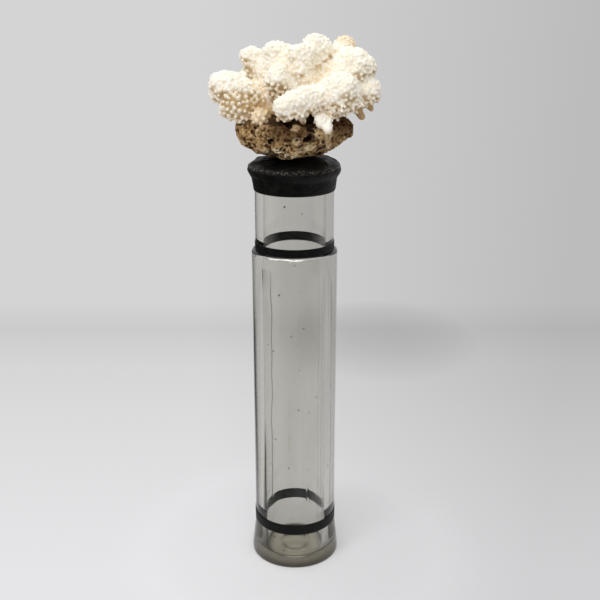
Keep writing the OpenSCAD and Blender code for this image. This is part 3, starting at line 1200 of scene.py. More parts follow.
@dataclass
class Stopper:
    """Washer, cork, hand-formed cap, wax bed and pin: what is under the coral."""

    washer_gap: float = 0.4 * MM
    washer_steps: int = 4
    cork_chamfer: float = 0.8 * MM
    cork_row: float = 1.2 * MM
    cork_pit: float = 0.5 * MM
    cork_pit_size: float = 2.4 * MM
    cork_pit_level: float = 0.25
    socket_gap: float = 0.1 * MM
    neck_r: float = 32.0 * MM
    skirt_gap: float = 0.3 * MM
    skirt_t: float = 0.6 * MM
    skirt_flare: float = 1.2 * MM
    skirt_lip: Point = (0.25 * MM, 0.3 * MM)
    skirt_round: float = 0.8 * MM
    flange_low: float = 340.0 * MM
    flange: tuple[Point, ...] = ((-1.0 * MM, 2.2 * MM), (0.0, 4.6 * MM))
    crest_r: float = 36.7 * MM
    crest_z: float = 347.8 * MM
    crest_w: float = 1.3 * MM
    crest_back: Point = (-3.2 * MM, 2.6 * MM)
    # Radii between which the crest is paler.
    crest_pale_r: Point = (34.0 * MM, 36.0 * MM)
    top_r: float = 24.0 * MM
    top_edge: Point = (3.0 * MM, -1.2 * MM)
    cap_row: float = 1.1 * MM
    lump: Relief = Relief(0.45 * MM, 10.0 * MM)
    dent: Relief = Relief(0.22 * MM, 3.6 * MM)
    inside_gap: float = 0.4 * MM
    axis_r: float = 1.0 * MM
    push_fade: Point = (0.1 * MM, 1.6 * MM)
    fold_h: float = 1.1 * MM
    fold_turns: tuple[float, ...] = (-152.0, -118.0, -62.0, -24.0, 28.0, 75.0, 130.0, 168.0)
    fold_w: float = 0.1
    fold_skew: float = 28.0
    fold_in: Point = (23.0 * MM, 29.0 * MM)
    fold_out: Point = (38.0 * MM, 34.0 * MM)
    fold_low: float = 1.0 * MM
    bed_top_r: float = 18.0 * MM
    bed_row: float = 1.0 * MM
    bed_steps: int = 9
    bed_free: float = 2.0 * MM
    bed_lump: Relief = Relief(0.5 * MM, 5.0 * MM)
    pin_chamfer: float = 0.6 * MM
    pin_row: float = 2.0 * MM
    pin_steps: int = 48

    def build(self) -> None:
        """Makes each piece in turn."""
        self.build_washer()
        self.build_cork()
        self.build_cap()
        self.build_bed()
        self.build_pin()

    def build_washer(self) -> None:
        """A flat leather ring with rounded edges."""
        outer, low, high = reach(Node.WASHER)
        inner = reach(Node.CORK)[0] + self.washer_gap
        edge = (high - low) / 3
        middles = (
            (outer - edge, low + edge), (outer - edge, high - edge),
            (inner + edge, high - edge), (inner + edge, low + edge),
        )
        ring = []
        for quarter, middle in enumerate(middles):
            start = 90 * (quarter - 1)
            ring += arc(middle, edge, start, start + 90, self.washer_steps)
        lay_piece(Node.WASHER, turned([*ring, ring[0]]), LeatherFinish(), Body.SEAL)

    def rod(self, node: Node, cut: float, row: float) -> list[Point]:
        """Outline of a round rod with chamfered ends.

        Args:
            node: the node that it stands for.
            cut: size of the chamfers.
            row: longest stretch of the outline.

        Returns:
            Radius and height of each point.
        """
        outer, low, high = reach(node)
        ends = [(0, low), (outer - cut, low), (outer, low + cut)]
        return refine(ends + [(outer, high - cut), (outer - cut, high), (0, high)], row)

    def build_cork(self) -> None:
        """A cork with chamfered ends and a slightly pitted side."""
        outer = reach(Node.CORK)[0]
        mesh = turned(self.rod(Node.CORK, self.cork_chamfer, self.cork_row))
        for corner in mesh.verts:
            pit = max(0.0, ripple(corner.co, self.cork_pit_size) - self.cork_pit_level) * self.cork_pit
            corner.co.xy *= 1 - pit / outer
        lay_piece(Node.CORK, mesh, CorkFinish(), Body.STOPPER)

    def cap_outline(self) -> list[Point]:
        """Outline of the cap: skirt, flange with a crest, sloping top, then the hollow under it.

        Returns:
            Radius and height of each point.
        """
        flange_r, low, high = reach(Node.CAP)
        inner = self.neck_r + self.skirt_gap
        skirt_r = inner + self.skirt_t
        cork_r, _, cork_top = reach(Node.CORK)
        ceiling = reach(Node.WASHER)[2]
        socket = cork_r + self.socket_gap
        lip_r, lip_h = self.skirt_lip
        return refine(
            [(inner, low + lip_h), (inner + lip_r, low), (skirt_r, low + self.skirt_round),
             (skirt_r + self.skirt_flare, self.flange_low - self.skirt_flare)]
            + [(flange_r + dr, self.flange_low + dz) for dr, dz in self.flange]
            + [(self.crest_r + dr, self.crest_z + dz) for dr, dz in ((0.0, 0.0), self.crest_back)]
            + [(self.top_r + dr, high + dz) for dr, dz in (self.top_edge, (0.0, 0.0))]
            + [(0, high), (0, cork_top), (socket, cork_top), (socket, ceiling), (inner, ceiling),
               (inner, low + lip_h)],
            self.cap_row,
        )

    def fold(self, place: Vector) -> float:
        """Height of the slanting folds on top of the cap.

        Args:
            place: a place on the cap.

        Returns:
            The height there.
        """
        radius = math.hypot(place.x, place.y)
        around = math.atan2(place.y, place.x) + self.fold_skew * (radius - self.top_r)
        window = ease(*self.fold_in, radius) * ease(*self.fold_out, radius)
        height = 0.0
        for turn in self.fold_turns:
            off = (around - math.radians(turn) + math.pi) % FULL_TURN - math.pi
            height = max(height, math.exp(-(off / self.fold_w) ** 2))
        return self.fold_h * window * height

    def build_cap(self) -> None:
        """Spins the cap, then presses lumps, dents and folds into its outside."""
        mesh = turned(self.cap_outline())
        inner = self.neck_r + self.skirt_gap
        fade_from, fade_to = (inner + off for off in self.push_fade)
        crest = []
        for corner in mesh.verts:
            place = corner.co.copy()
            radius = math.hypot(place.x, place.y)
            outside = radius > inner + self.inside_gap or place.z > self.crest_z
            if outside and radius > self.axis_r:
                push = self.lump.at(place) + self.dent.at(place)
                depth = ease(fade_from, fade_to, radius) if place.z < self.crest_z else 1.0
                corner.co += corner.normal * push * depth
                corner.co.z += self.fold(place) if place.z > self.crest_z - self.fold_low else 0.0
            ridge = math.exp(-((place.z - self.crest_z) / self.crest_w) ** 2)
            crest.append(ridge * ease(*self.crest_pale_r, radius))
        data = baked(mesh, "cap")
        mark(data, "crest", crest)
        lay_piece(Node.CAP, data, BlackWaxFinish(), Body.STOPPER)

    def build_bed(self) -> None:
        """Wax that rises in a hollow curve from the cap to the rock."""
        foot_r, low, high = reach(Node.BED)
        pin_r = reach(Node.PIN)[0] + self.socket_gap
        turns = [math.pi / 2 * i / self.bed_steps for i in range(self.bed_steps + 1)]
        side = [
            (foot_r + (self.bed_top_r - foot_r) * math.sin(t), low + (high - low) * (1 - math.cos(t)))
            for t in turns
        ]
        mesh = turned(refine([(pin_r, low), *side, (pin_r, high), (pin_r, low)], self.bed_row))
        for corner in mesh.verts:
            radius = math.hypot(corner.co.x, corner.co.y)
            if radius > pin_r + self.bed_free:
                corner.co.xy *= 1 + self.bed_lump.at(corner.co) / radius
        data = baked(mesh, "bed")
        mark(data, "crest", [0.0] * len(data.vertices))
        lay_piece(Node.BED, data, BlackWaxFinish(), Body.STOPPER)

    def build_pin(self) -> None:
        """A steel rod with chamfered ends."""
        mesh = turned(self.rod(Node.PIN, self.pin_chamfer, self.pin_row), steps=self.pin_steps)
        lay_piece(Node.PIN, mesh, SteelFinish(), Body.STOPPER)


@dataclass
class Rock:
    """The reef rock under the coral: craggy, pitted and crusted, with hollows of painted shade between its
    pillars.

    Pillars and the balls of painted cave shade are middles about the crown of the rock, and radii, in
    millimetres.
    """

    voxel: float = 0.62 * MM
    smoothing: int = 1
    lump: Relief = Relief(2.2 * MM, 9.0 * MM)
    flute: Relief = Relief(1.3 * MM, 6.0 * MM, 0.22, 2.0)
    grit: Relief = Relief(0.7 * MM, 1.6 * MM)
    ridge: float = 1.1 * MM
    ridge_pattern: Relief = Relief(1.0, 4.0 * MM, 1.0, 5.0)
    pit: float = 2.4 * MM
    pit_size: float = 4.8 * MM
    pit_from: float = 0.08
    pit_span: float = 0.42
    # Painted shade in the pits, less where a crust fills them.
    pit_dark: Point = (0.35, 0.9)
    pit_share: float = 0.75
    crusts: tuple[Place, ...] = (
        (-12.7, -41.2, 366.5), (-0.8, -37.0, 362.6), (4.0, -38.5, 364.5), (10.4, -36.5, 367.0),
        (-6.0, -38.0, 363.0), (-22.0, -34.0, 366.0), (24.0, -28.0, 368.0), (-36.0, -20.0, 371.0),
        (30.0, 18.0, 368.0), (5.0, 40.0, 367.0), (-20.0, 34.0, 367.0),
    )
    crust_r: float = 4.2 * MM
    crust_h: float = 1.6 * MM
    crust_fill: float = 0.7
    crust_light: float = 0.6
    crust_pale: Point = (0.15, 0.8)
    # Painted highlight on the ridges.
    ridge_painted_highlight: Point = (-0.8, 0.7)
    pillars: tuple[Ball, ...] = (
        (1, -40, -9, 5.5), (1, -40, -16, 6.0), (19, -38, -9, 7.0), (27, -34, -11, 8.0),
        (-25, -34, -10, 7.0),
    )
    pillar_pale: float = 0.6
    pillar_crest: float = 0.85
    # Balls in which caves are painted dark: painted shade.
    cave_shade_balls: tuple[Ball, ...] = (
        (-14, -37, -7, 8.0), (-6, -38, -8, 6.0), (10, -38, -8, 6.0), (12, -39, -14, 5.0),
        (37, -24, -3, 8.0),
    )
    cave_share: float = 0.72
    # Painted shadow of the coral over the rock's upper part, less on its left.
    dim_depth: Point = (24.0 * MM, 8.0 * MM)
    dim_x: Point = (-26.0 * MM, -14.0 * MM)
    dim_share: float = 0.85
    foot_fade: Point = (0.5 * MM, 3.0 * MM)
    seat_r: Point = (19.0 * MM, 24.0 * MM)
    # Painted shade in sheltered hollows.
    shelter_dark: Point = (0.3, 0.85)
    shelter_reach: float = 9.0 * MM

    def build(self) -> None:
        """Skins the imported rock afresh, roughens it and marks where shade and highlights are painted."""
        skin = reskinned(merged_copy(Node.ROCK), self.voxel, self.smoothing)
        low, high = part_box(Node.ROCK.value)
        pits, pale, crests, moved = [], [], [], []
        for corner in skin.vertices:
            place = corner.co.copy()
            radius = math.hypot(place.x, place.y)
            free = max(ease(*self.foot_fade, place.z - low.z), ease(*self.seat_r, radius))
            pit = max(0.0, bulge(place, self.pit_size) - self.pit_from) / self.pit_span
            crust = max(self.crusting(place, spot) for spot in self.crusts)
            fine = self.crags(place)
            push = self.lump.at(place) + self.flute.at(place) + fine + self.crust_h * crust
            push -= self.pit * pit ** 2 * (1 - self.crust_fill * crust)
            moved.append(place + corner.normal * push * free)
            # Painted shade in the pits, less where a crust fills them.
            pits.append(self.pit_share * ease(*self.pit_dark, pit) * (1 - self.crust_light * crust))
            pale.append(ease(*self.crust_pale, crust))
            # Painted highlight on the ridges.
            crests.append(ease(*self.ridge_painted_highlight, fine / self.ridge))
        for corner, target in zip(skin.vertices, moved):
            corner.co = Vector(max(a, min(b, folded(a, b, t))) for a, b, t in zip(low, high, target))
        skin.update()
        # Painted shade in sheltered hollows.
        hidden = sheltered(skin, tree_of(skin), self.shelter_reach)
        places = corners_of(skin)
        # Painted shadow of the coral over the rock's upper part.
        deep, shallow = (high.z - depth for depth in self.dim_depth)
        painted_shadow = self.dim_share * eased(deep, shallow, places[:, 2]) * eased(*self.dim_x, places[:, 0])
        pillar = within(places, self.pillars, high.z)
        # Painted shade in the caves.
        cave_shade = self.cave_share * within(places, self.cave_shade_balls, high.z)
        hollow = eased(*self.shelter_dark, hidden)
        mark(skin, "painted_shadow", painted_shadow * (1 - pillar))
        mark(skin, "pit", np.maximum.reduce((pits * (1 - pillar), hollow, cave_shade)))
        mark(skin, "pale", np.maximum(pale, self.pillar_pale * pillar))
        mark(skin, "crest", np.maximum(crests, self.pillar_crest * pillar))
        lay_piece(Node.ROCK, skin, RockCrust(), Body.STOPPER)

    def crusting(self, place: Vector, spot: Place) -> float:
        """How thick the crust round a spot is at a place, 0 to 1."""
        return math.exp(-((place - Vector(spot) * MM).length / self.crust_r) ** 2)

    def crags(self, place: Vector) -> float:
        """Height of its ridges and grit at a place."""
        return self.ridge * (0.5 - 2 * abs(self.ridge_pattern.at(place))) + self.grit.at(place)


@dataclass
class Knob:
    """One knob of the coral's skin: its middle, the way that it stands, its radius and half length."""

    middle: Vector
    out: Vector
    radius: float
    length: float


@dataclass
class CoralColony:
    """The coral: swelling lobes on bare stems, covered with knobs.

    Balls are middles about the crown of the rock, and radii, in millimetres. Sizes of knobs go from those
    on top to those underneath.
    """

    seed: int = 11
    base_voxel: float = 1.2 * MM
    base_smoothing: int = 7
    skin_voxel: float = 0.72 * MM
    skin_smoothing: int = 1
    most_triangles: int = 196_000
    lobule: float = 2.4 * MM
    lobule_size: float = 10.0 * MM
    lobule_level: float = 0.25
    stillness: float = 0.7
    swell: Relief = Relief(1.8 * MM, 16.0 * MM)
    tries: int = 90_000
    knob_gap: Point = (2.45 * MM, 3.4 * MM)
    knob_r: Point = (1.15 * MM, 1.5 * MM)
    knob_length: Point = (1.15, 1.5)
    knob_lift: Point = (0.1, 0.35)
    knob_lean: Point = (0.15, 0.5)
    lean_luck: float = 0.2
    lean_rise: float = 0.4
    least_girth: float = 0.85
    girth_luck: float = 0.35
    batch: int = 250
    bare_h: Point = (17.0 * MM, 5.0 * MM)
    bare_r: Point = (46.0 * MM, 34.0 * MM)
    stem_h: Point = (15.0 * MM, 3.0 * MM)
    stem_r: Point = (48.0 * MM, 36.0 * MM)
    stem_share: float = 0.8
    brown_share: float = 0.9
    # Undersides get longer knobs and painted shade; lit_share is painted light that lessens that shade.
    under_slope: Point = (0.18, -0.58)
    lit_share: float = 0.8
    white_rise: float = 0.5
    rise_full: float = 1.35 * MM
    # Painted shade in sheltered hollows.
    shelter_reach: float = 22.0 * MM
    shelter_deep: Point = (0.25, 0.9)
    star: Ball = (-25, -31, 0, 5.5)
    star_count: int = 26
    star_r: float = 1.9 * MM
    star_length: float = 2.4 * MM
    star_lift: float = 0.2
    star_lowest: float = -0.9
    smooth_tips: tuple[Ball, ...] = (
        (19, -41, -6, 6.5), (25.5, -43, -9, 7.5), (7, -37, -3, 8.5), (-12, -35, -2, 8.5),
        (52, -6, -2, 9.5), (60, -2, 3, 8.5), (-38, 24, -2, 8.5), (24, 34, -4, 8.5),
    )
    white_tips: tuple[Ball, ...] = ((19, -40, -4, 11.0), (25.5, -42, -7, 12.0), (7, -37, -3, 8.5))
    brown_tips: tuple[Ball, ...] = smooth_tips[4:]
    # Painted shade in a hollow finger tip.
    painted_dark_holes: tuple[Ball, ...] = ((7, -41.2, -3.2, 2.6),)
    tans: tuple[Ball, ...] = ((44, 22, 52, 14.0), (-25, -31, 0, 11.0))
    # Painted light: within these front lobes, undersides get less painted shade.
    lit: tuple[Ball, ...] = (
        (-14, -46, 9, 10.0), (-4, -46, 12, 10.0), (6, -45, 14, 10.0), (15, -43, 16, 10.0),
        (24, -38, 18, 10.0),
    )
    # Painted shadow: these lobes are painted like undersides.
    shaded: tuple[Ball, ...] = (
        (-54, -27, 13, 10.0), (-42, -25, 11, 11.0), (-30, -20, 9, 11.0), (-25, -31, 1, 10.0),
    )

    def build(self) -> None:
        """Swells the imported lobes, plants the knobs and wraps both in one skin."""
        self.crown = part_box(Node.ROCK.value)[1].z
        base = self.swollen_base()
        tree = tree_of(base)
        knobs = self.planted(base) + self.star_knobs()
        whole = self.joined(base, knobs)
        skin = reskinned(whole, self.skin_voxel, self.skin_smoothing, self.most_triangles)
        low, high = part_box(Node.COLONY.value)
        for corner in skin.vertices:
            corner.co = Vector(max(a, min(b, c)) for a, b, c in zip(low, high, corner.co))
        skin.update()
        self.mark_skin(skin, tree)
        LOG.info("coral: %d knobs", len(knobs))
        lay_piece(Node.COLONY, skin, CoralCrust(), Body.STOPPER)

    def swollen_base(self) -> bpy.types.Mesh:
        """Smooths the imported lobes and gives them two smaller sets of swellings.

        Returns:
            The mesh that carries the knobs.
        """
        base = reskinned(merged_copy(Node.COLONY), self.base_voxel, self.base_smoothing)
        normals = [corner.normal.copy() for corner in base.vertices]
        bare = self.bare(corners_of(base))
        for corner, normal, still in zip(base.vertices, normals, bare):
            push = self.lobule * (bulge(corner.co, self.lobule_size) - self.lobule_level)
            push += self.swell.at(corner.co)
            corner.co += normal * push * (1 - self.stillness * still)
        base.update()
        return base

    def low(self, places: np.ndarray, height: Point, radius: Point) -> np.ndarray:
        """How low over the crown and near the axis places are, rising to 1 between each pair of bounds."""
        down = eased(*height, places[:, 2] - self.crown)
        return down * eased(*radius, np.hypot(places[:, 0], places[:, 1]))

    def bare(self, places: np.ndarray) -> np.ndarray:
        """How free of knobs places are: 0 on the lobes, 1 on the stems and the smooth fingers."""
        stem = self.low(places, self.bare_h, self.bare_r)
        return np.maximum(stem, within(places, self.smooth_tips, self.crown))

    def under(self, places: np.ndarray, slopes: np.ndarray) -> np.ndarray:
        """How much the coral is like its undersides at some places: longer knobs, and painted shade.

        Args:
            places: the places, one a row.
            slopes: upward part of the way that the coral faces there.

        Returns:
            0 on top and 1 underneath or within the shaded balls, less within the lit ones, one a place.
        """
        lit = self.lit_share * within(places, self.lit, self.crown)
        facing = eased(*self.under_slope, slopes) * (1 - lit)
        return np.maximum(facing, within(places, self.shaded, self.crown))

    def planted(self, base: bpy.types.Mesh) -> list[Knob]:
        """Scatters knobs, no two closer than their spacing.

        Args:
            base: the mesh that carries them.

        Returns:
            The knobs.
        """
        rng = np.random.default_rng(self.seed)
        base.calc_loop_triangles()
        places = corners_of(base)
        triangles = np.array([t.vertices for t in base.loop_triangles])
        normals = np.array([v.normal for v in base.vertices])
        a, b, c = (places[triangles[:, i]] for i in range(3))
        area = np.linalg.norm(np.cross(b - a, c - a), axis=1)
        picks = rng.choice(len(triangles), self.tries, p=area / area.sum())
        shares = np.sort(rng.random((self.tries, 2)), axis=1)
        weights = np.stack([shares[:, 0], shares[:, 1] - shares[:, 0], 1 - shares[:, 1]], axis=1)
        spots = np.einsum("ni,nij->nj", weights, places[triangles[picks]])
        outs = np.einsum("ni,nij->nj", weights, normals[triangles[picks]])
        luck = rng.random((self.tries, 3))
        grows = luck[:, 0] >= self.bare(spots)
        outs /= np.linalg.norm(outs, axis=1, keepdims=True)
        unders = self.under(spots, outs[:, 2])
        taken: dict[tuple[int, int, int], list[Vector]] = {}
        knobs = []
        rows = zip(spots[grows], outs[grows], unders[grows], luck[grows])
        for spot, out, under, (_, girth, tilt) in rows:
            gap, thick, long, raised, leant = (
                top + (low - top) * under
                for top, low in (self.knob_gap, self.knob_r, self.knob_length, self.knob_lift, self.knob_lean)
            )
            foot = Vector(spot)
            cell = tuple(int(math.floor(v / self.knob_gap[1])) for v in foot)
            close = (
                other
                for i in (-1, 0, 1) for j in (-1, 0, 1) for k in (-1, 0, 1)
                for other in taken.get((cell[0] + i, cell[1] + j, cell[2] + k), ())
            )
            if any((foot - other).length < gap for other in close):
                continue
            taken.setdefault(cell, []).append(foot)
            outward = Vector((foot.x, foot.y, self.lean_rise * (foot.z - self.crown))).normalized()
            lean = (Vector(out) + outward * (leant + self.lean_luck * tilt)).normalized()
            radius = thick * (self.least_girth + self.girth_luck * girth)
            length = radius * long
            knobs.append(Knob(foot + lean * (length * raised), lean, radius, length))
        return knobs

    def star_knobs(self) -> list[Knob]:
        """Short fingers that stand out all round one small lobe in front.

        Returns:
            The fingers.
        """
        x, y, z, r = self.star
        middle = Vector((x * MM, y * MM, z * MM + self.crown))
        off = r * MM + self.star_lift * self.star_length
        return [
            Knob(middle + out * off, out, self.star_r, self.star_length)
            for out in spread(self.star_count, self.star_lowest)
        ]

    def joined(self, base: bpy.types.Mesh, knobs: Sequence[Knob]) -> bpy.types.Mesh:
        """Sets a small egg on the base for every knob.

        Args:
            base: the mesh that carries them.
            knobs: the knobs.

        Returns:
            One mesh of overlapping shells.
        """
        whole = bmesh.new()
        whole.from_mesh(base)
        carrier = bpy.data.meshes.new("knob_batch")
        for first in range(0, len(knobs), self.batch):
            eggs = bmesh.new()
            for knob in knobs[first:first + self.batch]:
                turn = knob.out.to_track_quat("Z", "Y").to_matrix().to_4x4()
                size = Matrix.Diagonal((knob.radius, knob.radius, knob.length, 1))
                place = Matrix.Translation(knob.middle)
                bmesh.ops.create_icosphere(eggs, subdivisions=1, radius=1, matrix=place @ turn @ size)
            eggs.to_mesh(carrier)
            eggs.free()
            whole.from_mesh(carrier)
        return baked(whole, "knobbed")

    def mark_skin(self, skin: bpy.types.Mesh, tree: BVHTree) -> None:
        """Stores on the skin what its finish reads.

        Args:
            skin: the finished skin.
            tree: the base without its knobs.
        """
        places = corners_of(skin)
        found = [tree.find_nearest(corner.co) for corner in skin.vertices]
        gaps = np.array([gap for _, _, _, gap in found])
        slopes = np.array([normal.z for _, normal, _, _ in found])
        low = self.low(places, self.stem_h, self.stem_r)
        hidden = sheltered(skin, tree, self.shelter_reach)
        white = within(places, self.white_tips, self.crown)
        brown = self.brown_share * within(places, self.brown_tips, self.crown)
        rise = np.minimum(1.0, gaps / self.rise_full)
        # Low between the knobs is painted shade.
        mark(skin, "rise", np.maximum(self.white_rise * white, rise))
        # Painted shade on the undersides and shaded balls, lessened in the lit ones.
        mark(skin, "under", self.under(places, slopes))
        # Painted shade in sheltered hollows.
        mark(skin, "deep", eased(*self.shelter_deep, hidden))
        mark(skin, "stem", np.maximum(self.stem_share * low * (1 - white), brown))
        # Painted shade in the hollow finger tip.
        mark(skin, "brown", within(places, self.painted_dark_holes, self.crown))
        mark(skin, "tan", within(places, self.tans, self.crown))


@dataclass(frozen=True)
class Lamp:
    """A rectangular lamp: its place, what it faces, its width and height, and its power in watts."""

    name: str
    place: Place
    aim: Place
    sides: Point
    power: float

    def hang(self) -> bpy.types.Object:
        """Hangs the lamp in the scene.

        Returns:
            The lamp's object.
        """
        data = bpy.data.lights.new(self.name, "AREA")
        data.shape = "RECTANGLE"
        data.energy = self.power
        data.size, data.size_y = self.sides
        lamp = placed(self.name, data)
        lamp.location = self.place
        lamp.rotation_euler = (Vector(self.aim) - Vector(self.place)).to_track_quat("-Z", "Y").to_euler()
        return lamp


@dataclass
class Studio:
    """Pale floor, soft lamps, windows that show only on the glass, an even sky and the camera."""

    lens: float = 56.166
    sensor: float = 36.0
    eye: Place = (4.435 * MM, -738.6 * MM, 483.6 * MM)
    tilt: float = math.radians(71.362)
    lamps: tuple[Lamp, ...] = (
        Lamp("top_box", (0.0, 0.1, 1.5), (0, 0, 0.2), (1.4, 1.4), 9.6),
        Lamp("left_box", (-0.85, -0.95, 1.25), (0, 0, 0.3), (0.55, 0.3), 4.8),
        Lamp("front_box", (0.0, -1.25, 1.35), (0, 0, 0.3), (1.1, 0.25), 4.2),
    )
    windows: tuple[Lamp, ...] = (
        Lamp("front_window", (0.0, -0.92, 1.2), (0, 0, 0.28), (1.1, 1.8), 62.0),
        Lamp("side_window", (-0.8, -0.45, 1.2), (0, 0, 0.28), (0.8, 1.8), 45.0),
    )
    sky_light: float = 0.48
    sky_turn: Point = (-0.15, 0.1)
    floor_half: float = 40.0
    floor_colour: Colour = shade(230, 229, 231)
    # Painted light: the lit floor is brighter to the left.
    painted_light_left: Colour = shade(239, 238, 240)
    back_colour: Colour = shade(214, 213, 214)
    seam_colour: Colour = shade(204, 203, 203)
    wall_colour: Colour = shade(213, 212, 213)
    # Painted light on the floor under the glass foot, and painted shade at the foot's rim and in an arc.
    painted_light_under_foot: Colour = shade(173, 167, 150)
    painted_rim_shade: Colour = shade(92, 87, 70)
    flag_colour: Colour = shade(66, 69, 65)
    front_colour: Colour = shade(95, 95, 96)
    front_y: Point = (-0.25, -0.45)
    plain_from: Point = (0.05, 0.17)
    lit_x: Point = (-0.06, 0.08)
    back_y: Point = (-0.05, 0.44)
    seam_y: float = 0.56
    seam_w: float = 0.13
    dim_x: Point = (-0.11, 0.3)
    dim_y: Point = (-0.1, 0.35)
    dim_light: float = 0.765
    dim_front: float = 0.8
    least_depth: float = 0.3
    shade_spot: Point = (0.12, 0.53)
    shade_scale: Point = (7.0, 6.0)
    shade_light: float = 0.84
    # Painted shade on the floor close round the jar.
    close_light: float = 0.76
    close_far: float = 0.13
    under_r: float = 0.04
    under_soft: float = 0.004
    under_fade: Point = (0.02, 0.03)
    ring_in: Point = (0.0093, 0.0109)
    ring_out: Point = (0.0121, 0.0137)
    ring_y: Point = (0.002, -0.004)
    ring_share: float = 0.6
    flag_slope: float = 1.75
    flag_edge: Point = (-0.06, -0.02)
    flag_near: Point = (0.22, 0.32)
    flag_far: Point = (0.77, 0.85)
    flag_end: Point = (0.95, 1.0)
    flag_share: float = 0.25
    mirror_slope: float = 0.36
    mirror_edge: Point = (-0.12, -0.04)

    def build(self) -> None:
        """Sets up the whole studio."""
        self.build_floor()
        self.build_sky()
        for lamp in self.lamps:
            lamp.hang()
        self.build_windows()
        self.build_camera()
        LOG.info("studio: floor, sky, lamps, windows and camera")

    def build_floor(self) -> None:
        """A large floor: lit and shaded near the jar, plain and pale farther out."""
        mesh = bmesh.new()
        bmesh.ops.create_grid(mesh, x_segments=1, y_segments=1, size=self.floor_half)
        floor = placed("floor", baked(mesh, "floor"))
        floor.data.materials.append(self.floor_material())

    def floor_material(self) -> bpy.types.Material:
        """Floor that fades from a lit sheet into a plain backdrop.

        Returns:
            The material.
        """
        graph = FloorGraph()
        distance, under_r, soft = graph.distance, self.under_r, self.under_soft
        # Painted light under the foot, with painted shade at its rim and in the arc.
        below = graph.mix(graph.span(distance, *self.under_fade), self.painted_light_under_foot, self.painted_rim_shade)
        below = graph.mix(self.ring(graph), below, self.painted_rim_shade)
        under = graph.fall(distance, under_r - soft, under_r + soft)
        colour = graph.mix(under, self.flagged(graph, self.backdrop(graph)), below)
        # Painted shade close round the jar.
        close = graph.span(distance, under_r, self.close_far, self.close_light, 1.0)
        glow = graph.glow("ShaderNodeEmission", colour, graph.times(self.dimmed(graph), close))
        # Painted light: brighter to the left.
        lit = graph.mix(graph.span(graph.x, *self.lit_x), self.painted_light_left, self.floor_colour)
        graph.dress(Base_Color=lit, Roughness=1.0, Specular_IOR_Level=0.0)
        share = graph.times(graph.most(graph.seen, graph.glossy), graph.span(distance, *self.plain_from))
        share = graph.most(share, graph.through)
        shown = graph.blend(share, graph.surface.outputs["BSDF"], glow)
        graph.feed(graph.output.inputs["Surface"], shown)
        return graph.material

    def ring(self, graph: FloorGraph) -> Sized:
        """Share of the arc of painted shade that the hollow under the foot draws.

        Args:
            graph: the floor's graph.

        Returns:
            The share.
        """
        inner = graph.span(graph.distance, *self.ring_in, 0.0, self.ring_share)
        band = graph.times(inner, graph.fall(graph.distance, *self.ring_out))
        return graph.times(band, graph.span(graph.y, *self.ring_y))

    def backdrop(self, graph: FloorGraph) -> Sized:
        """Colour of the backdrop: floor, a dull seam and the wall.

        Args:
            graph: the floor's graph.

        Returns:
            The colour.
        """
        y, seam, wide = graph.y, self.seam_y, self.seam_w
        floor = graph.mix(graph.span(y, *self.back_y), self.floor_colour, self.back_colour)
        floor = graph.mix(graph.span(y, seam - wide, seam), floor, self.seam_colour)
        return graph.mix(graph.span(y, seam, seam + wide), floor, self.wall_colour)

    def dimmed(self, graph: FloorGraph) -> Sized:
        """Light level of the backdrop: lower to the right, and behind the jar.

        Args:
            graph: the floor's graph.

        Returns:
            The level.
        """
        x, y = graph.x, graph.y
        depth = graph.most(graph.less(y, self.eye[1]), self.least_depth)
        loss = graph.span(graph.math("DIVIDE", x, depth), *self.dim_x, 0.0, 1 - self.dim_light)
        loss = graph.times(loss, graph.span(y, *self.dim_y, self.dim_front, 1.0))
        offs = (
            graph.math("POWER", graph.times(graph.less(value, middle), scale), 2.0)
            for value, middle, scale in zip((x, y), self.shade_spot, self.shade_scale)
        )
        shaded = graph.span(graph.plus(*offs), 0.0, 1.0, self.shade_light, 1.0)
        return graph.times(graph.less(1.0, loss), shaded)

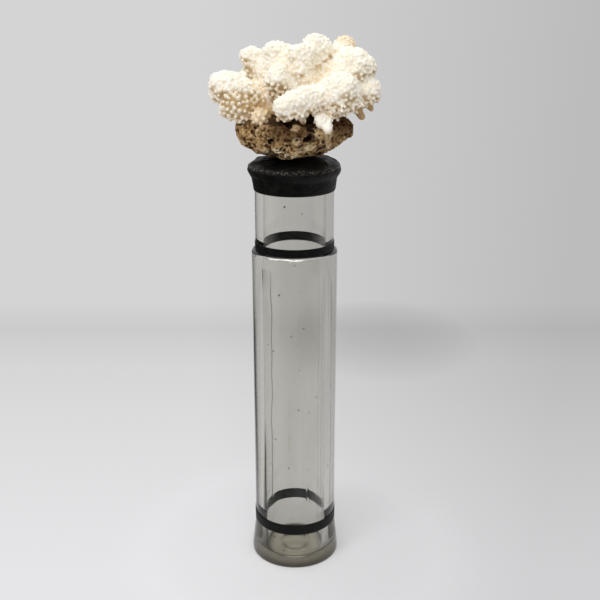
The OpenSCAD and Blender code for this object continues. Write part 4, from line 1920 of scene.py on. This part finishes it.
    def flagged(self, graph: FloorGraph, plain: Sized) -> Sized:
        """Dulls the front and darkens the left, where only the glass's mirrored and bent rays meet them.

        Args:
            graph: the floor's graph.
            plain: colour of the backdrop.

        Returns:
            The colour with the dark parts.
        """
        x, y, distance, glossy, through = graph.x, graph.y, graph.distance, graph.glossy, graph.through
        left = graph.fall(graph.plus(x, graph.times(y, self.flag_slope)), *self.flag_edge)
        far = graph.span(distance, *self.flag_far, self.flag_share, 1.0)
        bent = graph.times(left, graph.most(far, graph.fall(distance, *self.flag_near)))
        bent = graph.times(graph.times(bent, graph.fall(distance, *self.flag_end)), through)
        aside = graph.fall(graph.plus(x, graph.times(y, self.mirror_slope)), *self.mirror_edge)
        mirrored = graph.times(graph.most(graph.less(glossy, through), 0.0), aside)
        dull = graph.times(graph.most(glossy, through), graph.span(y, *self.front_y))
        plain = graph.mix(dull, plain, self.front_colour)
        return graph.mix(graph.most(bent, mirrored), plain, self.flag_colour)

    def build_sky(self) -> None:
        """Even light, seen as the backdrop, and through or off the glass as a dull room in front."""
        world = bpy.data.worlds.new("sky")
        bpy.context.scene.world = world
        graph = Graph(world, "ShaderNodeOutputWorld")
        rays = graph.add("ShaderNodeLightPath").outputs
        _, y, _ = graph.split(graph.add("ShaderNodeTexCoord").outputs["Generated"])
        wall, front, shown = (
            graph.glow("ShaderNodeBackground", colour, strength)
            for colour, strength in (
                (self.wall_colour, 1.0), (self.front_colour, 1.0), ((1.0, 1.0, 1.0), self.sky_light),
            )
        )
        room = graph.blend(graph.span(y, *self.sky_turn), front, wall)
        for name, layer in (("Is Glossy Ray", room), ("Is Transmission Ray", room), ("Is Camera Ray", wall)):
            shown = graph.blend(rays[name], shown, layer)
        graph.feed(graph.output.inputs["Surface"], shown)

    def build_windows(self) -> None:
        """Hangs the windows so that they show only as glints on the glass."""
        glass = bpy.data.collections.new("glint_takers")
        glass.objects.link(bpy.data.objects[Node.GLASS.value + "_look"])
        for window in self.windows:
            lamp = window.hang()
            lamp.visible_camera = lamp.visible_diffuse = lamp.visible_transmission = False
            lamp.light_linking.receiver_collection = glass

    def build_camera(self) -> None:
        """The camera at the photograph's place, tilt and lens."""
        data = bpy.data.cameras.new("camera")
        data.lens = self.lens
        data.sensor_width = self.sensor
        camera = placed("camera", data)
        camera.location = self.eye
        camera.rotation_euler = (self.tilt, 0, 0)
        bpy.context.scene.camera = camera
        bpy.context.scene.view_settings.view_transform = "Standard"


def main() -> None:
    """Builds every part of the scene in order."""
    logging.basicConfig(level=logging.INFO, format="%(message)s")
    Vessel().build()
    Bands().build()
    Stopper().build()
    Rock().build()
    CoralColony().build()
    Studio().build()


if __name__ == "__main__":
    main()
